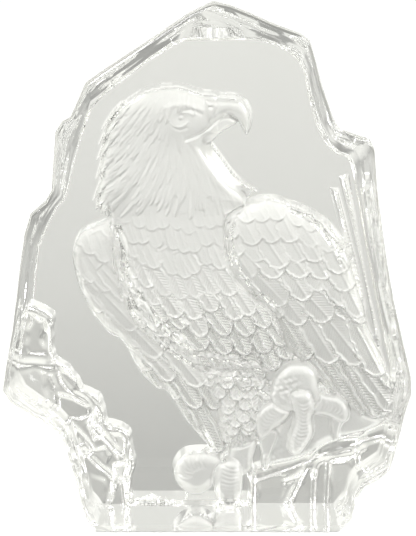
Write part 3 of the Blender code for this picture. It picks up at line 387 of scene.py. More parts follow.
# Forms: outline, top and rim as height shares, how far in from the rim the top is reached, and how
# frosted they are. Those of the legs and of the head stand in the order they are laid
BACK_ROCK_FORM = (BACK_ROCK_LINE, BACK_ROCK, BACK_ROCK - 0.06, 12, 1.0)
PERCH_FORM = (PERCH_LINE, LEDGE, LEDGE - 0.05, 10, 0.0)
FAR_WING_FORM = (FAR_WING_LINE, FAR_WING, FAR_WING - 0.16, 26, 1.0)
SHANK_FORM = (SHANK_LINE, THIGH, THIGH - 0.2, 9, 1.0)
THIGH_FORM = (THIGH_LINE, THIGH, THIGH - 0.16, 22, 1.0)
BREAST_FORM = (BREAST_LINE, BREAST, BREAST - 0.14, 42, 1.0)
NEAR_WING_FORM = (NEAR_WING_LINE, NEAR_WING, NEAR_WING - 0.2, 30, 1.0)
LEG_FORMS = (
    (HEEL_LINE, HEEL - 0.06, HEEL - 0.22, 12, 0.6),
    (NEAR_TOE_LINE, HEEL - 0.02, HEEL - 0.24, 12, 0.6),
    (LEFT_CLAW_LINE, FOOT - 0.30, FOOT - 0.42, 4, 0.8),
    (LEFT_TOE_LINE, FOOT - 0.12, FOOT - 0.30, 7, 0.8),
    (RIGHT_CLAW_LINE, FOOT - 0.30, FOOT - 0.42, 4, 0.8),
    (RIGHT_TOE_LINE, FOOT - 0.10, FOOT - 0.28, 7, 0.8),
    (FOOT_LINE, FOOT - 0.05, FOOT - 0.26, 11, 0.8),
    (MIDDLE_TOE_LINE, FOOT, FOOT - 0.20, 8, 0.8),
)
HEAD_FORMS = (
    (JAW_LINE, BEAK - 0.14, BEAK - 0.30, 6),
    (BEAK_LINE, BEAK, BEAK - 0.26, 9),
)

# Cross wrinkles over the toes: the toe's middle line (u, v) and how far they reach to each side;
# then the squares between them, their half width and depth, the share of the toe where they start,
# the share that tells its direction, and how far out a wrinkle's ends are
TOE_WRINKLES = (
    (((303, 396), (304, 412), (301, 430), (297, 448)), 8.0),
    (((284, 403), (272, 411), (264, 424), (262, 436)), 7.0),
    (((316, 403), (328, 405), (339, 410), (343, 418)), 7.0),
    (((232, 464), (230, 478), (230, 498)), 11.0),
    (((206, 460), (190, 464), (183, 476)), 9.0),
)
WRINKLE_STEP, WRINKLE_WIDTH, WRINKLE_DEPTH = 3.8, 0.9, 0.013
WRINKLE_START, WRINKLE_LOOK, WRINKLE_SPAN = 0.08, 0.05, 0.75

# Granular skin at the ankle and broken rock along the perch: where (u, v), spread and height; then
# the swings of the crumples with the pitches in squares and the turns, and how much longer the
# waves across them are
GRAINS = (
    ((285, 388), (14, 12), 0.015), ((262, 462), (12, 9), 0.02), ((300, 450), (24, 12), 0.006),
)
CRUMPLES = ((1.0, 9.1, 0.4), (0.8, 6.3, 1.9), (0.6, 4.4, 2.7))
CRUMPLE_STRETCH = 1.7

# Both groups of rock: outline (u, v), and the flat facets on it with outline, height share, and
# rise per square along u and v
LEFT_ROCK_LINE = (
    (16, 302), (32, 304), (53, 318), (52, 342), (54, 360), (70, 371), (81, 389), (97, 398),
    (108, 424), (122, 427), (131, 439), (134, 462), (131, 486), (133, 530), (40, 530),
    (10, 430), (-14, 420), (-8, 320),
)
LEFT_ROCK_LUMPS = (
    (((28, 311), (45, 321), (47, 357), (24, 360)), 0.80, 0.004, -0.003),
    (((13, 308), (23, 310), (19, 362), (8, 360)), 0.66, 0.010, 0.000),
    (((15, 374), (34, 366), (48, 374), (50, 410), (33, 408), (17, 399)), 0.66, 0.006, 0.002),
    (((54, 366), (68, 374), (80, 391), (70, 396), (58, 386)), 0.70, -0.006, 0.002),
    (((57, 394), (76, 397), (90, 406), (92, 420), (77, 424), (58, 420)), 0.86, 0.003, -0.004),
    (((60, 428), (76, 431), (86, 446), (77, 459), (65, 446)), 0.66, 0.012, 0.006),
    (((86, 426), (96, 404), (105, 424), (104, 440), (92, 444)), 0.96, -0.004, 0.004),
    (((86, 452), (104, 446), (112, 458), (110, 476), (95, 466)), 0.62, 0.006, -0.010),
    (((88, 470), (106, 482), (108, 504), (104, 530), (90, 530), (84, 490)), 0.64, 0.006, 0.002),
    (((109, 432), (122, 432), (128, 443), (124, 462), (114, 454)), 0.80, -0.006, 0.006),
    (((114, 466), (129, 458), (129, 484), (130, 530), (110, 530), (109, 486)), 0.94, 0.000, 0.000),
)
RIGHT_ROCK_LINE = (
    (248, 476), (268, 470), (304, 464), (322, 457), (345, 446), (372, 436), (410, 426),
    (420, 460), (396, 480), (366, 490), (364, 530), (248, 530),
)
RIGHT_ROCK_LUMPS = (
    (((256, 480), (288, 474), (292, 484), (272, 530), (257, 530)), 0.46, 0.000, 0.003),
    (((298, 486), (310, 480), (310, 530), (280, 530)), 0.50, 0.004, 0.003),
    (((306, 470), (318, 454), (320, 462), (314, 472)), 0.60, 0.000, 0.010),
    (((330, 464), (352, 459), (352, 484), (346, 530), (330, 530)), 0.48, 0.000, 0.004),
    (((363, 444), (392, 436), (393, 474), (364, 482)), 0.56, 0.004, -0.004),
    (((325, 449), (354, 444), (355, 454), (324, 460)), 0.74, 0.000, 0.004),
)

# The height share between the facets, the squares over which a facet's wall rises, and how much of
# its drawn height and tilt is used
ROCK_FLOOR, LUMP_WALL, LUMP_RISE, LUMP_TILT = 0.52, 5.0, 0.30, 0.35

# The rocks' edges wander from the drawn lines: squares of wander, squares between its waves, and
# how much slower these are across, for u once and for v twice
ROCK_WANDER = ((1.6, 43.0), (0.8, 17.0))
WANDER_ACROSS = 0.6, 0.8, 0.5

# Thin ridges between the facets of rock: line (u, v), half width in squares, height share
ROCK_RIBS = (
    (((253, 472), (253, 490), (252, 530)), 2.6, 0.07),
    (((301, 477), (289, 502), (274, 530)), 2.8, 0.07),
    (((314, 474), (313, 500), (312, 530)), 2.4, 0.06),
    (((328, 464), (326, 500), (323, 530)), 2.4, 0.06),
    (((364, 437), (339, 440), (320, 447), (309, 463), (301, 477), (286, 484)), 2.6, 0.06),
    (((314, 477), (318, 465), (332, 460), (353, 456), (364, 450)), 2.6, 0.06),
    (((359, 440), (357, 456), (360, 484), (353, 511), (345, 530)), 2.6, 0.07),
    (((360, 484), (378, 479), (398, 470)), 3.0, 0.06),
    (((28, 307), (40, 312), (53, 321)), 2.6, 0.07),
    (((44, 322), (46, 342), (48, 362)), 2.8, 0.06),
    (((22, 313), (21, 338), (19, 362)), 3.4, 0.07),
    (((14, 366), (30, 365), (50, 367)), 3.4, 0.06),
    (((50, 378), (55, 390), (54, 404), (50, 418)), 1.8, 0.05),
    (((57, 366), (73, 381), (90, 396), (102, 408), (110, 428)), 3.0, 0.06),
    (((60, 376), (70, 392), (88, 404), (94, 428)), 2.4, 0.06),
    (((70, 426), (84, 440), (92, 452), (82, 458)), 2.0, 0.06),
    (((90, 426), (110, 444), (121, 462), (119, 480)), 3.4, 0.07),
    (((112, 428), (128, 436), (128, 457), (122, 480)), 2.4, 0.06),
    (((84, 452), (98, 466), (114, 482), (108, 506), (103, 530)), 2.4, 0.06),
    (((122, 480), (125, 505), (129, 530)), 2.4, 0.06),
)

# Upright shards beside the near wing: outline (u, v) and the ridge height share; then how far in
# from the outline that height is reached
SHARD_LINES = (
    (((329, 190), (341, 191), (350, 226), (360, 268), (370, 316), (366, 330), (352, 268),
      (340, 232)), 0.34),
    (((338, 180), (350, 176), (359, 222), (371, 290), (384, 344), (388, 388), (376, 352),
      (364, 286), (350, 226)), 0.28),
)
SHARD_REACH = 5.0

# Thin ridges up the shards: lines (u, v), then half width and depth share, negative for a ridge
SHARD_EDGES = (
    ((330, 192), (340, 228), (352, 270), (366, 326)),
    ((341, 182), (352, 228), (366, 286), (378, 340), (388, 376)),
    ((350, 180), (360, 224), (372, 280), (386, 340), (394, 372)),
    ((345, 226), (356, 264), (364, 300)),
)
SHARD_EDGE = (1.2, -0.08)

# Camera: how far it looks down, in degrees, the picture's height and middle in squares, and the
# height of its sensor in metres
CAMERA_PITCH = 13.5
PICTURE_HEIGHT = 536
PICTURE_MIDDLE_U = 208.0
SENSOR = 0.024

# The finishes' colours: polished, fire-polished, satin, and the colour of the painted shade that
# the satin darkens towards; then how much of the satin's grain shows beside the barbs
POLISHED_TINT, FIRED_TINT = (0.98, 0.985, 0.97, 1.0), (0.98, 0.985, 0.955, 1.0)
SATIN_TINT, PAINTED_SHADE_TINT = (1.0, 1.0, 0.985, 1.0), (0.42, 0.42, 0.40, 1.0)
GRAIN_SHARE = 0.2

# What the crystal shows: sine of the elevation and grey level, from straight down to straight up
SURROUNDINGS = (
    (-1.0, 0.76), (-0.55, 0.86), (-0.42, 0.68), (-0.345, 0.45), (-0.30, 0.46), (-0.24, 0.63),
    (-0.165, 0.74), (-0.06, 0.92), (0.04, 1.0), (0.17, 1.0), (0.22, 0.74), (0.38, 0.74),
    (0.46, 1.0), (0.70, 1.0), (0.85, 0.75), (1.0, 0.60),
)
ROOM_WARMTH, WHITE = (1.0, 1.0, 0.955, 1.0), (1.0, 1.0, 1.0, 1.0)

# Dark cards in the room: towards x, y and z, sine of how far it reaches, and what it leaves
DARK_CARDS = (
    ((0.17, 0.87, -0.46), 0.20, 0.42),
    ((-0.10, 0.85, -0.52), 0.15, 0.40),
    ((-0.19, 0.75, -0.63), 0.14, 0.36),
)

# Soft lamps: name, place and size in metres, watts
LAMPS = (("key", (-0.9, -0.9, 1.3), 0.9, 25), ("fill", (1.0, -0.5, 0.9), 0.9, 15))


def lean(v):
    """How much larger than at the base a square is drawn at a height on the sheet."""
    return 1 + SHEET_LEAN * (SHEET_MIDDLE_V - v) / SHEET_HALF


SQUARE_X = WIDTH / (SHEET_RIGHT - SHEET_LEFT) * lean(WIDEST_V)
SQUARE_Z = HEIGHT / SHEET_HALF / (1 / lean(SHEET_TOP) + 1 / lean(SHEET_BASE))
MIDDLE_Z = SHEET_HALF * SQUARE_Z / lean(SHEET_BASE)


def on_face(u, v):
    """The place in metres on the front face of a place on the sheet."""
    across, up = (u - SHEET_MIDDLE_U) * SQUARE_X, (SHEET_MIDDLE_V - v) * SQUARE_Z
    return across / lean(v), MIDDLE_Z + up / lean(v)


def on_sheet(x, z):
    """The place on the sheet of a place on the front face."""
    up = (z - MIDDLE_Z) / SQUARE_Z
    spread = 1 / (1 - SHEET_LEAN / SHEET_HALF * up)
    return SHEET_MIDDLE_U + x / SQUARE_X * spread, SHEET_MIDDLE_V - up * spread


def smooth_line(points, closed=True, steps=6):
    """Points along a smooth curve through the given ones, as an array of (u, v)."""
    knots = np.array(points, float)
    if closed:
        before, after, beyond = (np.roll(knots, turn, 0) for turn in (1, -1, -2))
    else:
        ends = np.vstack([2 * knots[0] - knots[1], knots, 2 * knots[-1] - knots[-2]])
        before, knots, after, beyond = ends[:-3], ends[1:-2], ends[2:-1], ends[3:]
    stations = []
    for t in np.linspace(0, 1, steps, endpoint=False):
        stations.append(0.5 * (2 * knots + (after - before) * t
                               + (2 * before - 5 * knots + 4 * after - beyond) * t ** 2
                               + (3 * knots - before - 3 * after + beyond) * t ** 3))
    line = np.stack(stations, 1).reshape(-1, 2)
    if closed:
        return line
    return np.vstack([line, points[-1]])


def at_share(line, share):
    """The point a share of the way along a line, by length."""
    steps = np.hypot(*np.diff(line, axis=0).T)
    run = np.concatenate([[0.0], np.cumsum(steps)])
    place = share * run[-1]
    return np.array([np.interp(place, run, line[:, 0]), np.interp(place, run, line[:, 1])])


def line_distance(line, u, v, closed):
    """Distance to the line in squares; for a closed line it is positive inside."""
    ends = np.roll(line, -1, 0) if closed else line[1:]
    nearest = np.full(u.shape, np.inf)
    inside = np.zeros(u.shape, bool)
    for (au, av), (bu, bv) in zip(line, ends):
        du, dv = bu - au, bv - av
        along = ((u - au) * du + (v - av) * dv) / max(du * du + dv * dv, 1e-9)
        along = np.clip(along, 0, 1)
        nearest = np.minimum(nearest, (u - au - along * du) ** 2 + (v - av - along * dv) ** 2)
        if closed and dv:
            inside ^= ((av > v) != (bv > v)) & (u < au + (v - av) * du / dv)
    nearest = np.sqrt(nearest)
    return np.where(inside, nearest, -nearest) if closed else nearest


def rounded(distance, reach):
    """0 at an edge, rising like a quarter round to 1 where the distance passes reach."""
    return np.sqrt(1 - (1 - np.clip(distance / reach, 0, 1)) ** 2)


def eased(share):
    """A share from 0 to 1 that starts and ends softly."""
    share = np.clip(share, 0, 1)
    return share * share * (3 - 2 * share)


def mound(u, v, middle, spread):
    """A soft bell with height 1 at its middle."""
    out_u, out_v = (u - middle[0]) / spread[0], (v - middle[1]) / spread[1]
    return np.exp(-out_u ** 2 - out_v ** 2)


def crumple(u, v):
    """Uneven waves from about -1 to 1 that cross each other."""
    total = 0
    for swing, pitch, turn in CRUMPLES:
        along = u * math.cos(turn) + v * math.sin(turn)
        across = v * math.cos(turn) - u * math.sin(turn)
        waves = np.sin(2 * math.pi * along / pitch + pitch)
        crossing = np.sin(2 * math.pi * across / (CRUMPLE_STRETCH * pitch) + turn)
        total = total + swing * waves * crossing
    return total


def wander(u, v):
    """Places on the sheet moved by slow waves, so that broken rock isn't drawn with a ruler."""
    one, two, three = WANDER_ACROSS
    for swing, wave in ROCK_WANDER:
        turn = 2 * math.pi / wave
        u, v = (u + swing * np.sin(turn * v + wave) * np.cos(turn * u * one),
                v + swing * np.sin(turn * u * two + 2 * wave) * np.cos(turn * v * three))
    return u, v


def swelling(distance, top, edge, reach):
    """The height of a form that is edge at its rim and top further in than reach."""
    return edge + (top - edge) * rounded(distance, reach)


class Relief:
    """The carved figure as heights above the back face, in shares of RELIEF_DEPTH.

    Beside the heights it keeps how frosted each place is, where the feathers' barbs lie, how deep
    they are, and how much painted shade darkens the satin's colour: in the pits, inside the
    feathers' rims and just past their edges.
    """

    def __init__(self, u, v):
        self.u, self.v = u, v
        self.height = np.full(u.shape, OUTSIDE)
        self.frost = np.zeros(u.shape)
        self.barb_turn = np.zeros(u.shape)
        self.barb_depth = np.zeros(u.shape)
        self.tone = np.ones(u.shape)
        self.wall = WALL_WIDTH / SQUARE_X
        self.feather_wall, self.lock_wall = FEATHER_WALL / SQUARE_X, LOCK_WALL / SQUARE_X

    def lay(self, distance, height, frost):
        """Cover the figure with a form where distance is positive, with a steep wall round it."""
        cover = np.clip(distance / self.wall + 0.5, 0, 1)
        self.height = self.height * (1 - cover) + height * cover
        self.frost = self.frost * (1 - cover) + frost * cover
        self.barb_depth = self.barb_depth * (1 - cover)
        # A new form clears the painted shade beneath it
        self.tone = self.tone * (1 - cover) + cover

    def body(self, outline, top, edge, reach, frost):
        """A swelling form with a closed outline, edge high at its rim and top high inside."""
        distance = line_distance(smooth_line(outline), self.u, self.v, True)
        form = swelling(distance, top, edge, reach)
        self.lay(distance, form, frost)
        return distance, form

    def groove(self, points, width, depth):
        """Press a soft groove along an open line; a negative depth raises a ridge."""
        line = smooth_line(points, closed=False)
        area = self.near(line, 4 * width)
        distance = line_distance(line, self.u[area], self.v[area], False)
        self.height[area] = self.height[area] - depth * np.exp(-(distance / width) ** 2)

    def near(self, points, margin):
        """The part of the grid within a margin of some points."""
        low, high = np.min(points, 0) - margin, np.max(points, 0) + margin
        inside = (self.u >= low[0]) & (self.u <= high[0]) & (self.v >= low[1]) & (self.v <= high[1])
        rows, columns = np.flatnonzero(inside.any(1)), np.flatnonzero(inside.any(0))
        if not len(columns) or not len(rows):
            return None
        return slice(rows[0], rows[-1] + 1), slice(columns[0], columns[-1] + 1)

    def feather(self, tip, root, width, lift, barbs, ragged, ground, keep):
        """One feather from root to tip, laid on the ground form where keep is positive."""
        area = self.near([tip, root], width)
        if area is None:
            return
        shaft = tip - root
        length = np.hypot(*shaft)
        out_u, out_v = self.u[area] - root[0], self.v[area] - root[1]
        along = (out_u * shaft[0] + out_v * shaft[1]) / length ** 2
        across = (out_v * shaft[0] - out_u * shaft[1]) / length
        round_end = min(FEATHER_END * width / length, LONGEST_END)
        past = np.clip((along - (1 - round_end)) / round_end, 0, 1)
        half = width / 2 * np.sqrt(1 - past ** 2) * np.clip(FEATHER_ROOT + along, FEATHER_ROOT, 1)
        half = half * sum((swing * np.sin(along * waves + ragged * shift)
                           for swing, waves, shift in EDGE_WAVES), 1)
        margin = np.minimum(half - np.abs(across), (1 - along) * length)
        margin = np.minimum(margin, along * length)
        cover = eased(margin / self.feather_wall + 0.5) * np.clip(keep[area] / self.wall + 1, 0, 1)
        crown = 1 - (across / (width / 2)) ** 2
        form = ground[area] + lift * np.clip(along, 0, 1) * (VANE_SIDE + VANE_CROWN * crown)
        form += lift * SHAFT_SHARE * np.exp(-(across / SHAFT_WIDTH) ** 2) * np.clip(4 * along, 0, 1)
        rim = np.exp(-((margin - RIM_IN) / RIM_WIDTH) ** 2)
        form += lift * RIM_SHARE * rim
        self.height[area] = self.height[area] * (1 - cover) + form * cover
        mine = cover > 0.5
        # Painted shade: the satin darkens inside the rim, which stays light as a painted highlight,
        # and in a painted shadow just past the edge
        strength = min(1.0, lift / FULL_LIFT) ** 2
        painted_shadow = np.exp(-((margin + GAP_OUT) / GAP_WIDTH) ** 2) * (keep[area] > 0) * (along > 0.5)
        vane_painted_shade = 1 - VANE_PAINTED_SHADE * strength * (1 - rim)
        self.tone[area] = np.where(mine, vane_painted_shade, self.tone[area] * (1 - GAP_PAINTED_SHADOW * strength * painted_shadow))
        turn = (along * length - BARB_SWEEP * np.abs(across)) / BARB_PITCH
        depth = barbs * np.clip(margin / 2, 0, 1)
        self.barb_turn[area] = np.where(mine, turn, self.barb_turn[area])
        self.barb_depth[area] = np.where(mine, depth, self.barb_depth[area])

    def rows(self, rows, ground, keep):
        """Overlapping rows of feathers, the lowest first, each a little off its drawn place."""
        chance = random.Random(FEATHER_SEED)
        for tips, count, first_heading, last_heading, length, width, lift, barbs in rows:
            line = smooth_line(tips, closed=False)
            for place in np.linspace(0, 1, count):
                stray = chance.uniform(-1, 1), chance.uniform(-1, 1)
                tip = at_share(line, place) + FEATHER_STRAY * np.array(stray)
                heading = first_heading + (last_heading - first_heading) * place
                heading = math.radians(heading + chance.uniform(-FEATHER_TURN, FEATHER_TURN))
                root = tip - length * np.array([math.cos(heading), math.sin(heading)])
                broad, rise = (size * chance.uniform(*span) for size, span in
                               ((width, FEATHER_WIDTHS), (lift, FEATHER_LIFTS)))
                self.feather(tip, root, broad, rise, barbs, chance.random(), ground, keep)

    def lock(self, path, width, lift, ground, keep, walled=False):
        """A slender pointed lock along a path, on the ground form where keep is positive."""
        area = self.near(path, width)
        if area is None:
            return
        u, v = self.u[area], self.v[area]
        nearest = np.full(u.shape, np.inf)
        along = np.zeros(u.shape)
        for number, ((au, av), (bu, bv)) in enumerate(zip(path, path[1:])):
            du, dv = bu - au, bv - av
            part = np.clip(((u - au) * du + (v - av) * dv) / (du * du + dv * dv), 0, 1)
            away = np.hypot(u - au - part * du, v - av - part * dv)
            closer = away < nearest
            nearest = np.where(closer, away, nearest)
            along = np.where(closer, (number + part) / (len(path) - 1), along)
        grown = np.minimum(LOCK_ROOT + LOCK_GROWTH * along, LOCK_POINT * np.sqrt(1 - along))
        half = width / 2 * grown + 0.01
        ridge = (lift * (LOCK_LOW + (1 - LOCK_LOW) * along)
                 * (1 - np.clip(nearest / half, 0, 1) ** 2))
        cover = np.clip(keep[area] / self.wall + 1, 0, 1)
        if walled:
            cover = cover * eased((half - nearest) / self.lock_wall + 0.5)
            form = ground[area] + ridge
        else:
            form = np.maximum(self.height[area], ground[area] + ridge)
        self.height[area] = self.height[area] * (1 - cover) + form * cover
        # A walled splinter's top is left free of painted shade
        if walled:
            self.tone[area] = np.where(cover > 0.5, 1.0, self.tone[area])
        self.frost[area] = np.maximum(self.frost[area], cover * (nearest < half))

    def band(self, outer, inner, count, length, width, lift, sink):
        """A ragged band of splinters that run along it, with clear pits between them that carry
        painted shade.
        """
        keep = line_distance(np.vstack([outer, inner[::-1]]).astype(float), self.u, self.v, True)
        ground = self.height.copy()
        pit = eased(keep / PIT_EDGE + 0.5)
        self.height = ground - sink * pit
        # Painted shade darkens the pits
        self.tone = self.tone * (1 - PIT_PAINTED_SHADE * pit)
        clear = (keep > 0) & (crumple(self.u, self.v) > CLEAR_FROM)
        self.frost = np.where(clear, 0.0, self.frost)
        edges = smooth_line(outer, closed=False), smooth_line(inner, closed=False)
        chance = random.Random(count)
        for number in range(count):
            side = chance.random()
            place = (number + chance.uniform(-SPLINTER_SHIFT, SPLINTER_SHIFT)) / count
            root, ahead = (at_share(edges[0], share) * (1 - side) + at_share(edges[1], share) * side
                           for share in (place, place + 1 / count))
            turn = math.radians(chance.uniform(-SPLINTER_STRAY, SPLINTER_STRAY))
            heading = math.atan2(ahead[1] - root[1], ahead[0] - root[0]) + turn
            path = [root]
            for step in range(3):
                heading -= turn * step / 2
                onward = np.array([math.cos(heading), math.sin(heading)])
                path.append(path[-1] + length / 3 * onward)
            broad = width * chance.uniform(*SPLINTER_WIDTHS)
            self.lock(path, broad, lift, ground, keep + PIT_EDGE, walled=True)

    def plateau(self, outline, height, rise_u, rise_v):
        """A flat tilted facet of rock with a short eased wall round it."""
        line = np.array(outline, float)
        u, v = wander(self.u, self.v)
        distance = line_distance(line, u, v, True)
        middle = line.mean(0)
        tilt = rise_u * (self.u - middle[0]) + rise_v * (self.v - middle[1])
        rise = (height - ROCK_FLOOR) * LUMP_RISE + LUMP_TILT * tilt
        form = ROCK_FLOOR + rise * eased(distance / LUMP_WALL)
        self.height = np.where(distance > 0, form, self.height)


def carve_rocks(relief):
    """The shards up the right side, the rocks at both lower corners, the perch and the ridges."""
    for outline, ridge in SHARD_LINES:
        distance = line_distance(np.array(outline, float), relief.u, relief.v, True)
        rise = eased(distance / SHARD_REACH)
        relief.height = np.maximum(relief.height, OUTSIDE + (ridge - OUTSIDE) * rise)
    for outline, lumps in ((LEFT_ROCK_LINE, LEFT_ROCK_LUMPS), (RIGHT_ROCK_LINE, RIGHT_ROCK_LUMPS)):
        u, v = wander(relief.u, relief.v)
        relief.lay(line_distance(np.array(outline, float), u, v, True), ROCK_FLOOR, 0.0)
        for lump in lumps:
            relief.plateau(*lump)
    relief.body(*PERCH_FORM)
    for line, width, height in ROCK_RIBS:
        relief.groove(line, width, -height)
    for line in SHARD_EDGES:
        relief.groove(line, *SHARD_EDGE)


def carve_far_wing(relief):
    """The wing and tail behind the breast, in long overlapping feathers."""
    keep, ground = relief.body(*FAR_WING_FORM)
    relief.rows(FAR_WING_ROWS, ground, keep - 1)


def carve_thigh(relief):
    """The shank and the thigh, which small feathers cover."""
    relief.body(*SHANK_FORM)
    keep, ground = relief.body(*THIGH_FORM)
    heights, lefts, rights = zip(*THIGH_EDGES)
    rows = []
    for v in np.arange(heights[-1], heights[0], -THIGH_ROW_STEP):
        left, right = np.interp(v, heights, lefts), np.interp(v, heights, rights)
        shift = THIGH_SCALE[1] / 2 * (len(rows) % 2)
        tips = ((left + shift, v - THIGH_SAG), ((left + right) / 2 + shift, v + THIGH_SAG),
                (right + shift, v - THIGH_SAG))
        count = round((right - left) / THIGH_SCALE[1]) + 1
        rows.append((tips, count) + THIGH_HEADINGS + THIGH_SCALE)
    relief.rows(rows, ground, keep)


def carve_breast(relief):
    """The breast: smooth above, feathered below, with ragged bands at its rim."""
    keep, ground = relief.body(*BREAST_FORM)
    relief.rows(BREAST_ROWS, ground, keep)
    for band in BREAST_BANDS:
        relief.band(*band)


def carve_near_wing(relief):
    """The folded wing nearest the front, with its rows of coverts and long primaries."""
    fall = WING_FALL * np.clip((relief.v - WING_FALL_FROM) / WING_FALL_RUN, 0, 1)
    outline, top, edge, reach, frost = NEAR_WING_FORM
    keep, ground = relief.body(outline, top - fall, edge - fall, reach, frost)
    relief.rows(NEAR_WING_ROWS, ground, keep - 1)
    for band in WING_BANDS:
        relief.band(*band)


def neck_edges(v):
    """How far right the nape and the throat are at a height of the neck."""
    return (np.interp(v, *zip(*line)) for line in (NAPE_LINE, THROAT_LINE))


def neck_flow(spot):
    """The heading of the hackles at a spot, in radians below level."""
    nape, throat = neck_edges(spot[1])
    across = (spot[0] - nape) / (throat - nape)
    return math.radians(np.interp(across, *zip(*FLOW_ACROSS)))


def carve_neck(relief):
    """Neck and slender hackles that sweep back and down from the crown to the collar."""
    swell = (HEAD - NECK) * mound(relief.u, relief.v, CHEEK, CHEEK_SPREAD)
    distance = line_distance(smooth_line(NECK_LINE), relief.u, relief.v, True)
    heading = math.radians(TUFT_HEADING)
    run = (relief.u * math.sin(heading) - relief.v * math.cos(heading)) / TUFT_PITCH
    run = run + TUFT_SWAY * np.sin(run)
    at_nape = (eased((TUFT_U - relief.u) / TUFT_U_FADE + 1)
               * eased((relief.v - TUFT_V) / TUFT_V_FADE))
    distance = distance + TUFT_SWING * (run % 1) * at_nape
    form = NECK - NECK_RIM + (NECK_RIM + swell) * rounded(distance, NECK_REACH)
    from_throat = line_distance(smooth_line(THROAT_SLOPE, closed=False), relief.u, relief.v, False)
    form = form - THROAT_DEPTH * eased(1 - from_throat / THROAT_WIDTH)
    standing, frost = relief.height, relief.frost
    relief.lay(distance, form, 1.0)
    chest = line_distance(np.array(COLLAR_LINE, float), relief.u, relief.v, True)
    merge = eased((chest + COLLAR_EDGE) / COLLAR_EDGE)
    soft = eased(distance / COLLAR_REACH)
    merged = standing * (1 - soft) + form * soft
    relief.height = relief.height * (1 - merge) + merged * merge
    relief.frost = np.maximum(relief.frost, frost)
    ground = form * (1 - merge) + merged * merge
    chance = random.Random(HACKLE_SEED)
    for row in range(HACKLE_ROWS - 1, -1, -1):
        for lane in range(HACKLES_ACROSS):
            v = HACKLE_TOP + (HACKLE_BOTTOM - HACKLE_TOP) * row / (HACKLE_ROWS - 1)
            v += chance.uniform(-HACKLE_STRAY, HACKLE_STRAY)
            lane_place = lane + 0.5 * (row % 2) + chance.uniform(-LANE_STRAY, LANE_STRAY)
            side = lane_place / (HACKLES_ACROSS - 0.5)
            nape, throat = neck_edges(v)
            root = np.array([nape + HACKLE_RIM + (throat - nape - 2 * HACKLE_RIM) * side, v])
            length = HACKLE_LENGTH * chance.uniform(*HACKLE_LENGTHS)
            sway = math.radians(chance.uniform(-HACKLE_SWAY, HACKLE_SWAY))
            from_face = math.hypot(*((root - FACE) / FACE_SIZE))
            if from_face < 1:
                continue
            path = flowing_path(root, length * min(1, from_face - 0.5), sway)
            lift = HACKLE_LIFT * (1 - HACKLE_CALM * side)
            broad = HACKLE_WIDTH * chance.uniform(*HACKLE_WIDTHS)
            relief.lock(path, broad, lift, ground, distance)


def flowing_path(root, length, sway):
    """A lock's path from its root along the neck's flow, turned by sway."""
    path = [root]
    for number in range(HACKLE_BENDS):
        heading = neck_flow(path[-1]) + sway * math.cos(2 * math.pi * number / HACKLE_BENDS)
        step = np.array([math.cos(heading), math.sin(heading)])
        path.append(path[-1] + step * length / HACKLE_BENDS)
    return path


def carve_head(relief):
    """The hooked beak, mouth line, nostril, brow and eye."""
    u, v = relief.u, relief.v
    for outline, top, edge, reach in HEAD_FORMS:
        distance = line_distance(smooth_line(outline), u, v, True)
        form = swelling(distance, top, edge, reach)
        relief.lay(distance, np.maximum(form, relief.height), 1.0)
    for line, width, depth in FACE_LINES:
        relief.groove(line, width, depth)
    relief.height = relief.height - NOSTRIL_DEPTH * mound(u, v, NOSTRIL, NOSTRIL_SIZE)
    from_eye = np.hypot(u - EYE[0], (v - EYE[1]) * EYE_FLATNESS)
    relief.height = relief.height - EYE_SOCKET_DEPTH * np.exp(-(from_eye / EYE_SOCKET) ** 2)
    ball = HEAD - EYE_BALL_SINK + EYE_BALL_RISE * rounded(EYE_RADIUS - from_eye, EYE_RADIUS)
    relief.height = np.where(from_eye < EYE_RADIUS, np.maximum(relief.height, ball), relief.height)


def carve_legs(relief):
    """The heel and toe on the rock, and the raised foot with its toes, claws and wrinkles."""
    for form in LEG_FORMS:
        relief.body(*form)
    for axis, reach in TOE_WRINKLES:
        line = smooth_line(axis, closed=False)
        count = round(np.hypot(*np.diff(line, axis=0).T).sum() / WRINKLE_STEP)
        for place in np.linspace(WRINKLE_START, 1, count):
            middle = at_share(line, place)
            along = middle - at_share(line, place - WRINKLE_LOOK)
            side = np.array([-along[1], along[0]]) / np.hypot(*along) * reach * WRINKLE_SPAN
            relief.groove((middle - side, middle + along, middle + side),
                          WRINKLE_WIDTH, WRINKLE_DEPTH)
    grain = crumple(relief.u, relief.v)
    for middle, spread, height in GRAINS:
        relief.height = (relief.height
                         + height * grain * mound(relief.u, relief.v, middle, spread))


def seen_place(u, v, share=CARVED_AT):
    """Where in metres that lies, a share of the depth back, which shows at a place on the sheet."""
    x, z = on_face(u, v)
    part = share / CARVED_AT
    spread = 1 + (SEEN_SPREAD - 1) * part
    return x * spread, LOW.y + share * DEPTH, z * spread - SEEN_SINK * HEIGHT * part


def carve_figure(x, z):
    """The whole relief for places on the back face, given in metres."""
    relief = Relief(*on_sheet(x / SEEN_SPREAD, (z + SEEN_SINK * HEIGHT) / SEEN_SPREAD))
    relief.body(*BACK_ROCK_FORM)
    for carve in (carve_rocks, carve_far_wing, carve_thigh, carve_breast, carve_near_wing,
                  carve_neck, carve_head, carve_legs):
        carve(relief)
    return relief


def deselect():
    """Leave nothing selected, because operators act on all that is."""
    bpy.ops.object.select_all(action='DESELECT')


def choose(piece):
    """Select one piece alone and make it the active one."""
    deselect()
    piece.select_set(True)
    bpy.context.view_layer.objects.active = piece


def face_outwards():
    """Turn all faces of the active solid outwards."""
    bpy.ops.object.mode_set(mode='EDIT')
    bpy.ops.mesh.select_all(action='SELECT')
    bpy.ops.mesh.normals_make_consistent(inside=False)
    bpy.ops.object.mode_set(mode='OBJECT')


